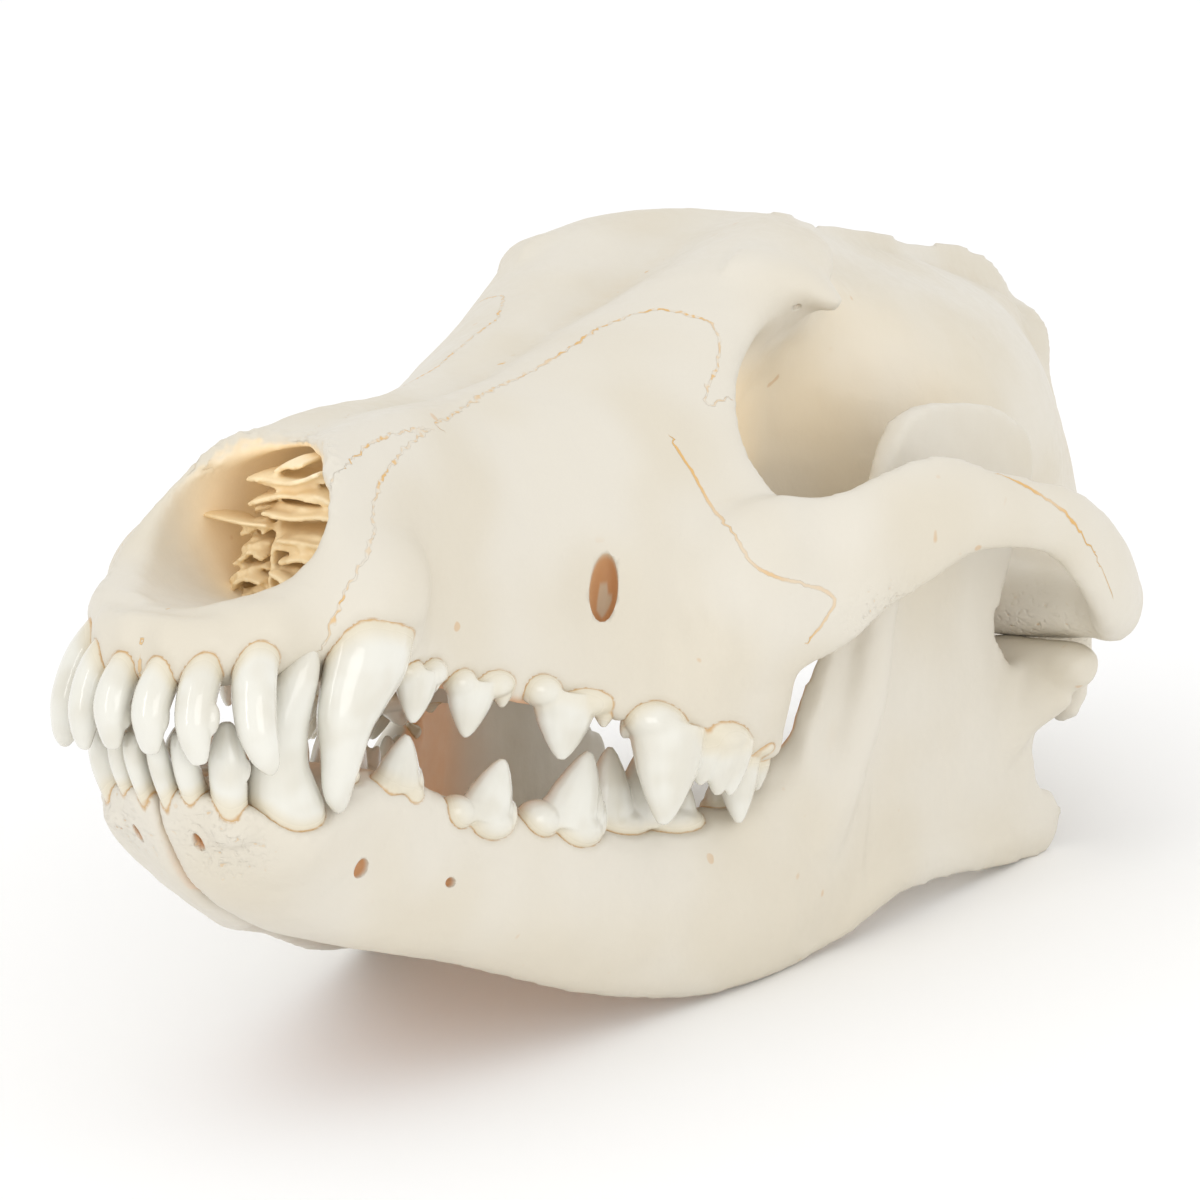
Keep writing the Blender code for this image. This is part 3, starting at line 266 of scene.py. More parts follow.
skullForm = {
    "voxel": 1.15,
    "sections": [
        [-0.5, 0, 0, 6.5, 2, 6.4, 4, 6, 5.6, 5, 6.8, 3.2, 7.2, 0.6, 6.4, -1.8, 4, -2.8, 0, -2.8],
        [3, 0, 0, 12, 4, 12, 6.8, 11, 8.5, 8.5, 10.2, 5.6, 11.5, 2.4, 10.8, -0.8, 6, -3, 0, -2.6],
        [8, 0, 0, 22, 6, 22, 9.6, 20.5, 12.8, 16.5, 14.5, 11, 15.8, 5.4, 15.2, 1, 9, -2.8, 0, -2],
        [16, 0, 0, 30, 7, 30, 11.6, 28, 14.9, 22, 17.4, 15.4, 19.4, 9, 19, 3.2, 11, -2.4, 0, -1],
        [24, 0, 0, 32.5, 7, 33, 11.3, 30.5, 15, 25, 20, 17, 24.2, 11, 23, 5.5, 15, -1.8, 0, 0],
        [33, 0, 0, 33, 6.5, 34.2, 11.5, 31.5, 16.5, 26, 22, 18, 25, 11, 23, 3.2, 15, -1, 0, 1],
        [42, 0, 0, 35.7, 6, 36.6, 11, 34, 15.8, 28, 20, 18.5, 21.6, 9, 20.8, 0.8, 14.5, -1, 0, 2],
        [54, 0, 0, 38.2, 5.5, 39.2, 10, 36.8, 15.4, 30, 19.6, 19.5, 22, 8.5, 23, -1.5, 16.5, -2.5, 0, 2.5],
        [66, 0, 0, 39.8, 5, 40.9, 9.5, 39, 15.8, 31.8, 21.8, 20.5, 25.4, 8, 26.6, -2.6, 19.5, -4, 0, 2.5],
        [78, 0, 0, 42.4, 5, 44.2, 10.5, 42.6, 18.6, 35.4, 25.8, 23, 30, 9, 32, -3.4, 26, -5, 0, 2.2],
        [90, 0, 0, 46.8, 5.2, 48.8, 12, 47.4, 21.6, 39.8, 29.6, 27, 35.8, 11, 39, -6.8, 31.6, -7.8, 0, 1.6],
        [102, 0, 0, 52, 6, 54.4, 14.2, 53, 24, 45.6, 32, 33, 41, 14.5, 41.6, -9, 31.6, -9.4, 0, 1.4],
        [112, 0, 0, 56.5, 8, 59.2, 17.4, 57.6, 26, 50.2, 34, 37.4, 46, 18, 41, -10.8, 29.5, -10, 0, 1.2],
        [121, 0, 0, 60.4, 10.5, 64.2, 20.8, 61.8, 26.8, 55, 27, 42, 34, 18, 37.4, -10.6, 25, -9.5, 0, 1],
        [127, 0, 0, 62.8, 12, 67, 23.2, 65, 27, 59, 21.5, 44, 21, 20, 24, -6, 17, -7.5, 0, 3],
        [133, 0, 0, 65.6, 13.4, 70.4, 25, 67.4, 28.2, 62, 18.5, 46, 15.5, 22, 15.6, 2, 12, -3, 0, 5],
        [142, 0, 0, 69.3, 13, 73.6, 25.6, 70, 28.4, 64.2, 17, 47, 14, 23, 13.6, 4, 11, -2, 0, 6],
        [152, 0, 0, 73.2, 10.4, 75.6, 21.2, 72.2, 22.8, 66, 16.8, 47, 13.4, 24, 13, 5, 11, -1.5, 0, 7],
        [163, 0, 0, 76, 5.5, 76, 12, 71.5, 18, 62.5, 19.5, 47, 16.5, 27, 13, 7, 11, 0, 0, 9],
        [176, 0, 0, 76.2, 3.5, 74.4, 10, 69, 20, 60, 25.5, 46.5, 24, 31, 18, 17, 9, 12, 0, 11],
        [190, 0, 0, 74, 5.5, 72.2, 15, 67.6, 25.5, 58.5, 31.2, 45.5, 30.5, 31.5, 25, 20, 11, 12.5, 0, 11],
        [205, 0.05, 0, 73, 7, 71.5, 17.5, 66.5, 28.5, 57, 34, 44.5, 33.6, 31.5, 30, 20, 14, 12.5, 0, 11],
        [220, 0.15, 0, 71.5, 7.5, 70, 17.5, 65, 28, 55.5, 33.6, 43, 34.5, 31, 32, 19.5, 17, 13, 0, 11],
        [234, 0.3, 0, 69.5, 7, 67.6, 13.5, 62.5, 21.5, 53, 28.5, 41.5, 32, 30, 32.5, 18.5, 18, 13, 0, 12],
        [243, 0.42, 0, 67.5, 6.5, 65.6, 11, 59.5, 17.5, 50, 24.5, 40.5, 30, 29.5, 31, 18, 18, 13.5, 0, 13],
        [248, 0.46, 0, 65, 5, 62.5, 9.5, 57, 15.5, 48, 22, 38.5, 28, 29, 29, 18.5, 17, 14, 0, 14],
    ],
    "leanHeight": 35,
    # rooms and holes: y, centre x, centre z, half width, half height
    "nasalRoom": [[-6, 0, 21, 13, 13], [6, 0, 21, 13.4, 13.2], [14, 0, 20.6, 14.4, 12.6],
                  [22, 0, 19.6, 14.4, 11.4], [30, 0, 19.4, 13.4, 11.2], [40, 0, 20.4, 12.6, 12],
                  [55, 0, 21.4, 12.6, 13], [70, 0, 22, 12, 13], [80, 0, 22, 8, 9]],
    "throat": [[117, 0, 8, 7, 4], [123, 0, 7, 9, 7], [131, 0, -2, 10.2, 15], [150, 0, -6, 10, 19],
               [166, 0, -6, 9.6, 19.5], [180, 0, -9, 9, 19]],
    "spineHole": [[206, 0, 36, 5, 4], [228, 0, 35, 8, 6.6], [244, 0, 32.5, 9.4, 8], [266, 0, 27, 11, 9]],
    # outlines cut off the front: y, z of the rim and x, y of the notch over the nose
    "nasalRim": [[-14, 6.6], [4.6, 7.1], [6.4, 9.0], [11.7, 11.3], [16.2, 13.6], [19.2, 17.4],
                 [22.4, 23.4], [25.5, 27.8], [27.4, 31], [28.6, 36], [28.8, 48], [-14, 48]],
    "nasalNotch": [[-9.6, 24], [-9.4, 28.2], [-5, 32.6], [0, 36], [5, 32.6], [9.4, 28.2], [9.6, 24]],
    "orbitScoop": {"centre": (46, 139, 42), "radii": (27, 33, 25)},
    # bars grown onto the body: x, y, z, half height, half thickness
    "arch": [[34, 99, 8, 15, 8], [41, 108, 15, 14.5, 6.5], [45.6, 115, 18, 13.5, 4.6],
             [49.6, 120.5, 21.4, 11, 4.2], [53, 128, 25.6, 10.4, 3.8], [56, 135.5, 29, 9.8, 3.5],
             [59.4, 144.5, 29.9, 6.9, 3.3], [62.6, 155, 29.6, 5.9, 3.2], [64.8, 163.5, 28.4, 6.2, 3.3],
             [66.2, 170.5, 25, 6.8, 3.4], [66.6, 177, 21, 7.2, 3.7], [65.6, 183, 17.2, 7.4, 4.2],
             [62.8, 189, 15.6, 7, 5.2], [58, 194.5, 15.2, 6.4, 6.6], [51, 199.5, 15.6, 6.6, 7.6],
             [42, 203.5, 17, 7.4, 8.6], [30, 206, 21, 9, 9]],
    "brow": [[17, 135, 65, 5.6, 13], [24, 136.4, 64.4, 4.4, 9], [29.4, 137.8, 62.6, 2.9, 5.2],
             [33, 139, 60.8, 1.7, 2.2]],
    "flange": [[0, 264.4, 63.4, 4.6, 3.2], [4, 261.4, 62.2, 4.6, 2.8], [8.8, 257.4, 59.2, 4.8, 2.4],
               [12.8, 252.2, 54.6, 4.8, 2.2], [16.4, 245.8, 48.4, 4.8, 2.1], [21, 241.8, 39.8, 4.4, 2.1],
               [25.8, 237, 31.6, 4, 2.3], [29.8, 231.4, 24, 3.8, 2.8], [32.2, 227.6, 18, 3.4, 3.2]],
    "neckProng": [[27, 233, 18, 5.5, 5], [27.4, 237, 9, 4, 3.2], [26.6, 239.4, 1, 2.8, 2],
                  [26, 240.6, -5.6, 1.6, 1.3]],
    "jointProng": [[42, 205, 14, 5, 9], [44, 206.4, 6, 3.8, 7.8], [46, 206.6, -0.4, 3.3, 6],
                   [47.6, 206, -4.6, 2.4, 3.8], [48.4, 205.6, -6.4, 1.6, 2]],
    "shelf": [[30, 197, 15.6, 7.4, 9], [40, 196.5, 14, 6.8, 9], [50, 194.5, 14, 6.2, 8],
              [58, 191.5, 14.2, 5.6, 6.5], [63, 188.5, 15, 5, 5]],
    # y, z along the top of the crest
    "crestTop": [[158, 74], [168, 76.6], [178, 77.3], [187, 75.9], [198, 76.6], [212, 76.6], [221, 75.3],
                 [232, 75.9], [246, 76], [254, 74.6], [260, 72.4], [264.8, 69], [268, 65]],
    "condyle": {"centre": (11, 246.5, 23), "radii": (6.6, 8.4, 9.4), "turn": (-20, 28, 0)},
    "bulla": {"centre": (17.5, 219, 6.6), "radii": (9.2, 13.5, 9.6), "turn": (0, 0, -14)},
    # where pieces grow into one another: centre, radii
    "roots": [((43, 111, 14), (15, 17, 18)), ((25, 135, 64), (14, 16, 13)), ((47, 198, 15), (17, 14, 13)),
              ((17.5, 219, 7), (13, 17, 9)), ((27, 233, 18), (10, 10, 12)),
              ((22, 250, 52), (20, 16, 20))],
    # what swells or sinks: centre, radii, height
    "swellings": [((23, 29.5, 15.2), (11, 13, 10.4), 2.2), ((14.4, 10.8, 6.2), (6, 6, 5.4), 1.2),
                  ((9, 3, 4.6), (3.6, 5, 4), 0.7), ((3.4, 0, 3.6), (2.8, 5, 4), 0.6),
                  ((34, 100, 2), (18, 20, 14), 0.8), ((30, 76, 15), (8, 11, 10), -1.6),
                  ((0, 120, 62), (7, 46, 16), -0.8), ((13, 190, 71), (12, 46, 8), -0.9)],
    # low forms that only a mesh this fine can hold: centre, radii, height
    "details": [((27, 138.6, 56), (4, 4, 6), 1.3), ((23.4, 138.4, 50), (4, 4, 8), 1.6),
                ((20.6, 137.6, 42), (4, 5, 9), 1.4), ((18.6, 135.6, 33), (4, 6, 9), 1),
                ((22, 127, 47), (9, 8, 14), -1.6), ((24, 122, 30), (8, 10, 9), -1.2),
                ((29, 117, 24), (5, 5, 3.4), 1.4), ((25, 121, 28), (3, 6, 2.6), 1.3),
                ((21, 126, 24), (4, 4, 3), 1), ((33, 73, 11), (7, 10, 7), -1),
                ((30, 70, 4), (7, 5, 9), 0.5), ((37, 86, 4), (6, 4, 12), -0.7),
                ((39, 95, 6), (6, 5, 12), 0.7), ((5, 60, 39), (2, 40, 6), -0.25),
                ((0, 60, 39), (1.4, 44, 6), -0.3), ((13, 182, 62), (10, 40, 8), 0.4)],
    # the ragged front edge of the nasal bones
    "noseEdge": [[0, 36, 34.6, 0.6, 0.6], [5, 32.6, 34.4, 0.6, 0.6], [9.4, 28.2, 32, 0.6, 0.6],
                 [11.2, 26.6, 27.8, 0.6, 0.6]],
    "slit": {"centre": (28.2, 79.2, 13.8), "radii": (2.2, 5, 6), "turn": (16, 0, 24)},
    "browHole": {"centre": (27.6, 133.6, 60.2), "radii": (0.7, 0.8, 0.8)},
    # where bone is rough or porous, and warm inside the eye socket: centre, radii, strength
    "rough": [((47, 204, 0), (9, 10, 12), 1), ((62, 178, 10), (9, 22, 7), 0.8),
              ((56, 130, 16), (10, 24, 9), 0.5)],
    "porous": [((50, 196, 8), (22, 22, 12), 1), ((52, 128, 12), (12, 16, 8), 1)],
    "eye": [((20, 128, 32), (22, 26, 26), 1.1), ((24, 160, 40), (28, 52, 40), 0.55)],
}


def stationsOf(sections, spacing):
    # positions along y, and the values of the sections there
    sections = np.array(sections, float)
    stops = np.arange(sections[0, 0], sections[-1, 0] + spacing * 0.5, spacing)
    return stops, curveThrough(sections, stops)


def skullRings(spacing=3.0, count=48):
    rings = []
    for y, row in zip(*stationsOf(skullForm["sections"], spacing)):
        lean, half = row[0], row[1:].reshape(-1, 2)
        whole = np.vstack([half, half[-2:0:-1] * (-1, 1)])
        outline = closedCurve(whole, count)
        back = y + lean * (outline[:, 1] - skullForm["leanHeight"])
        rings.append(np.column_stack([outline[:, 0], back, outline[:, 1]]))
    return rings


def tunnel(name, stations, squareness=2.3, count=28):
    # a cutter or bar along y: each station is y, centre x, centre z, half width, half height
    stations = np.array(stations, float)
    stops = np.linspace(stations[0, 0], stations[-1, 0], 3 * len(stations))
    turn = np.arange(count) * 2 * math.pi / count
    across = np.sign(np.cos(turn)) * np.abs(np.cos(turn)) ** (2 / squareness)
    high = np.sign(np.sin(turn)) * np.abs(np.sin(turn)) ** (2 / squareness)
    rings = []
    for y, (cx, cz, wide, tall) in zip(stops, curveThrough(stations, stops)):
        rings.append(np.column_stack([cx + wide * across, np.full(count, y), cz + tall * high]))
    return loft(name, rings)


def ridgePlate(name, tops, depth, wide, count=24):
    # a thin wall along the midline under a line of [y, z]
    stops = np.linspace(tops[0][0], tops[-1][0], count)
    rings = []
    for y, (z,) in zip(stops, curveThrough(tops, stops)):
        side = [(wide * 0.7, y, z - 0.8), (wide, y, z - 3), (wide * 2.4, y - 2, z - depth)]
        rings.append([(0, y, z)] + side + [(-x, back, low) for x, back, low in side[::-1]])
    return loft(name, rings)


def cranium():
    form = skullForm
    body = loft("body", skullRings())
    cutters = [prism("rimCut", form["nasalRim"], 0, -45, 45),
               prism("notchCut", form["nasalNotch"], 2, 23, 46),
               tunnel("room", form["nasalRoom"]), tunnel("throatCut", form["throat"], 2.6)]
    carve(body, cutters + pair(ellipsoid("scoop", **form["orbitScoop"], cuts=4)))
    parts = [body, ridgePlate("crest", form["crestTop"], 9, 1.15)]
    for name, upright in (("arch", (0, 0, 1)), ("brow", (0.1, 0, 1)), ("flange", (0, 0.75, 1)),
                          ("neckProng", (0, 1, 0)), ("jointProng", (0, 1, 0)), ("shelf", (0, 0, 1))):
        parts += pair(horn(name, form[name], upright))
    for name in ("condyle", "bulla"):
        parts += pair(ellipsoid(name, **form[name]))
    skull = fuse("craniumBone", parts, form["voxel"])
    carve(skull, [tunnel("spine", form["spineHole"], 2)])
    relax(skull, 3)
    soften(skull, form["roots"], 14)
    press(skull, form["swellings"])
    return skull


# The lower jaw: each half is a body of sections along y, a flat ramus behind it and the joint.
# Body rows are y, then x and z of the top inner edge, top outer edge, upper wall, lower wall,
# lower edge, inner lower edge and inner wall.

jawForm = {
    "voxel": 0.95,
    "sections": [
        [5.6, 0.4, -18.4, 4.6, -18.4, 5.6, -18.9, 5.2, -19.8, 3.4, -20.4, 0.4, -20.6, 0.4, -19.4],
        [8, 0.4, -17.8, 9.4, -18.4, 10.7, -20.2, 9.2, -22.4, 5.4, -23.8, 0.4, -24.6, 0.4, -21],
        [12, 0.4, -17.2, 12.8, -19.8, 13.9, -22, 10.9, -24.8, 6, -28, 0.4, -30, 0.4, -23],
        [18, 0.4, -16.4, 16, -22.2, 17.5, -24.8, 14.8, -28.4, 7.4, -32.4, 0.4, -34.2, 0.4, -25],
        [26, 0.4, -15.4, 17.4, -19.2, 19.1, -24.8, 16.6, -30.6, 9.6, -36, 0.4, -37.4, 0.4, -26],
        [34, 0.4, -15.4, 18, -16.2, 19, -23.6, 17.4, -32, 11.4, -38.8, 1, -40, 0.4, -27],
        [44, 5.4, -16.6, 19.2, -16.6, 20.6, -24.6, 19.8, -33.4, 15, -41.2, 7, -41.4, 5, -29],
        [56, 11.6, -20, 21.4, -20.4, 22.6, -27.4, 22.4, -36.4, 18.4, -43, 12.6, -42.8, 10.4, -31],
        [68, 16, -21.6, 24.6, -22.2, 26, -29, 26.2, -38, 22, -45.4, 17, -45.2, 14.6, -34],
        [80, 20, -23, 27.8, -24.2, 29.6, -31, 29.8, -40, 25.6, -47.8, 21, -47.4, 18, -36],
        [94, 23.6, -24, 31.4, -24.6, 33.4, -32, 33.6, -41.4, 29.6, -49.8, 25, -49.2, 22, -37],
        [108, 27.6, -22.6, 35, -23.4, 37.2, -31, 37.2, -41.6, 33.2, -50.4, 28.6, -49.8, 26, -36],
        [120, 31.6, -18, 38.4, -18.6, 40.2, -28, 40, -39.6, 36.4, -48.8, 32, -48.4, 30.2, -34],
        [132, 35.4, -8, 41, -8.4, 42, -24, 41.6, -36.6, 38.6, -46, 35, -45.8, 34.6, -30],
        [146, 38.8, 4, 42, 3.6, 42.8, -18, 42.6, -32, 40.2, -41.4, 38, -41, 38.6, -24],
    ],
    # y, z round the upright plate, whose middle is at x and leans with y and z
    "ramusOutline": [(127, -9), (129.5, -2), (134, 12), (139.5, 30), (142, 38), (146.4, 44), (153, 46.3),
                     (163, 46.9), (173, 46.2), (180.6, 43.6), (184.4, 39), (184.4, 32), (181.6, 22),
                     (178.6, 13), (180, 7), (186, 3.4), (193, 1.6), (196.4, -4), (195.6, -12),
                     (198.4, -17.6), (203.6, -19), (206.6, -22.6), (205.6, -28), (199, -30.9),
                     (188, -31.8), (174, -33.2), (162, -35.2), (152, -39), (141, -43.4), (128, -43.6),
                     (124, -30)],
    "ramus": {"thick": 4.2, "x": 39.2, "perY": 0.105, "perZ": 0.03, "fromY": 140, "fromZ": -30},
    # bars grown onto the plate: x, y, z, half height, half thickness
    "condyle": [[36.5, 195.4, 2.8, 2.8, 3], [39, 194.8, 3.4, 4, 4], [49, 192.6, 3.6, 4.4, 4.6],
                [56, 190.8, 3.8, 4.2, 4.3], [59.2, 190, 3.6, 2.6, 2.8]],
    "neck": [[43, 186, -14, 4, 4], [46, 189, -6, 4.4, 5], [49, 191.4, 1, 4, 8]],
    "frontRidge": [[44.6, 141, 24, 3, 2], [44.4, 139.4, 12, 4, 3], [43.4, 139, -2, 5, 3.6],
                   [41.4, 137, -16, 5, 3.6], [40, 133, -28, 6, 3]],
    "lowerRidge": [[46.6, 203.6, -24.6, 4.4, 2.4], [45.4, 193, -26.4, 4.4, 2.8],
                   [43.4, 176, -28.8, 4.2, 2.8], [41.4, 160, -31.4, 4.4, 2.8], [39.6, 144, -38, 5.2, 3]],
    "joins": [((42, 139, 4), (9, 12, 34)), ((41, 150, -40), (9, 24, 10)), ((46, 189, -4), (12, 12, 14))],
    "swellings": [((43, 158, -2), (8, 26, 26), -0.9)],
    "chin": [((10.8, 9.6, -24.6), (4.4, 5, 3.2), 1.7)],
    # small holes: centre, radii
    "foramina": [((5.4, 9.6, -25.8), (0.9, 2, 1.9)), ((18.2, 33.2, -28.9), (2, 1.5, 1.6)),
                 ((22, 52.2, -31.4), (1.7, 1.1, 0.8)), ((12.9, 17.5, -27.2), (0.6, 0.7, 0.5)),
                 ((12, 20.9, -31.2), (0.5, 0.6, 0.4)), ((9.3, 10.8, -24.2), (0.4, 0.6, 0.4)),
                 ((8.6, 10.2, -25.2), (0.35, 0.6, 0.35)), ((10.4, 12, -25), (0.35, 0.6, 0.35))],
}


def ramusX(co):
    lean = jawForm["ramus"]
    return lean["x"] + (co[:, 1] - lean["fromY"]) * lean["perY"] + (co[:, 2] - lean["fromZ"]) * lean["perZ"]


def dentary(name):
    form = jawForm
    rings = []
    for y, row in zip(*stationsOf(form["sections"], 2.5)):
        outline = closedCurve(row.reshape(-1, 2), 28)
        outline[:, 0] = np.maximum(outline[:, 0], 0.3)                     # stays off the midline
        rings.append(np.column_stack([outline[:, 0], np.full(len(outline), y), outline[:, 1]]))
    half = form["ramus"]["thick"] / 2
    plate = prism("ramus", closedCurve(form["ramusOutline"], 120), 0, -half, half)
    co = points(plate)
    co[:, 0] += ramusX(co)
    place(plate, co)
    parts = [loft("jawBody", rings), plate]
    for part, upright in (("condyle", (0, 0, 1)), ("neck", (0, 1, 0)), ("frontRidge", (0, 1, 0)),
                          ("lowerRidge", (0, 0, 1))):
        parts.append(horn(part, form[part], upright))
    jaw = fuse(name, parts, form["voxel"])
    relax(jaw, 2)
    soften(jaw, form["joins"], 12)
    press(jaw, form["swellings"])
    return jaw


# Teeth. Front teeth follow a path from root to tip, each station x, y, z, half length along the row
# and half thickness, with bumps of x, y, z and radii. Cheek teeth stand at the middle of the neck:
# row runs back along the jaw and rise is its slope. Cusps are foot and tip along the row, tip
# outwards, height, half length and half width. Lobes are along, out, up and their radii.

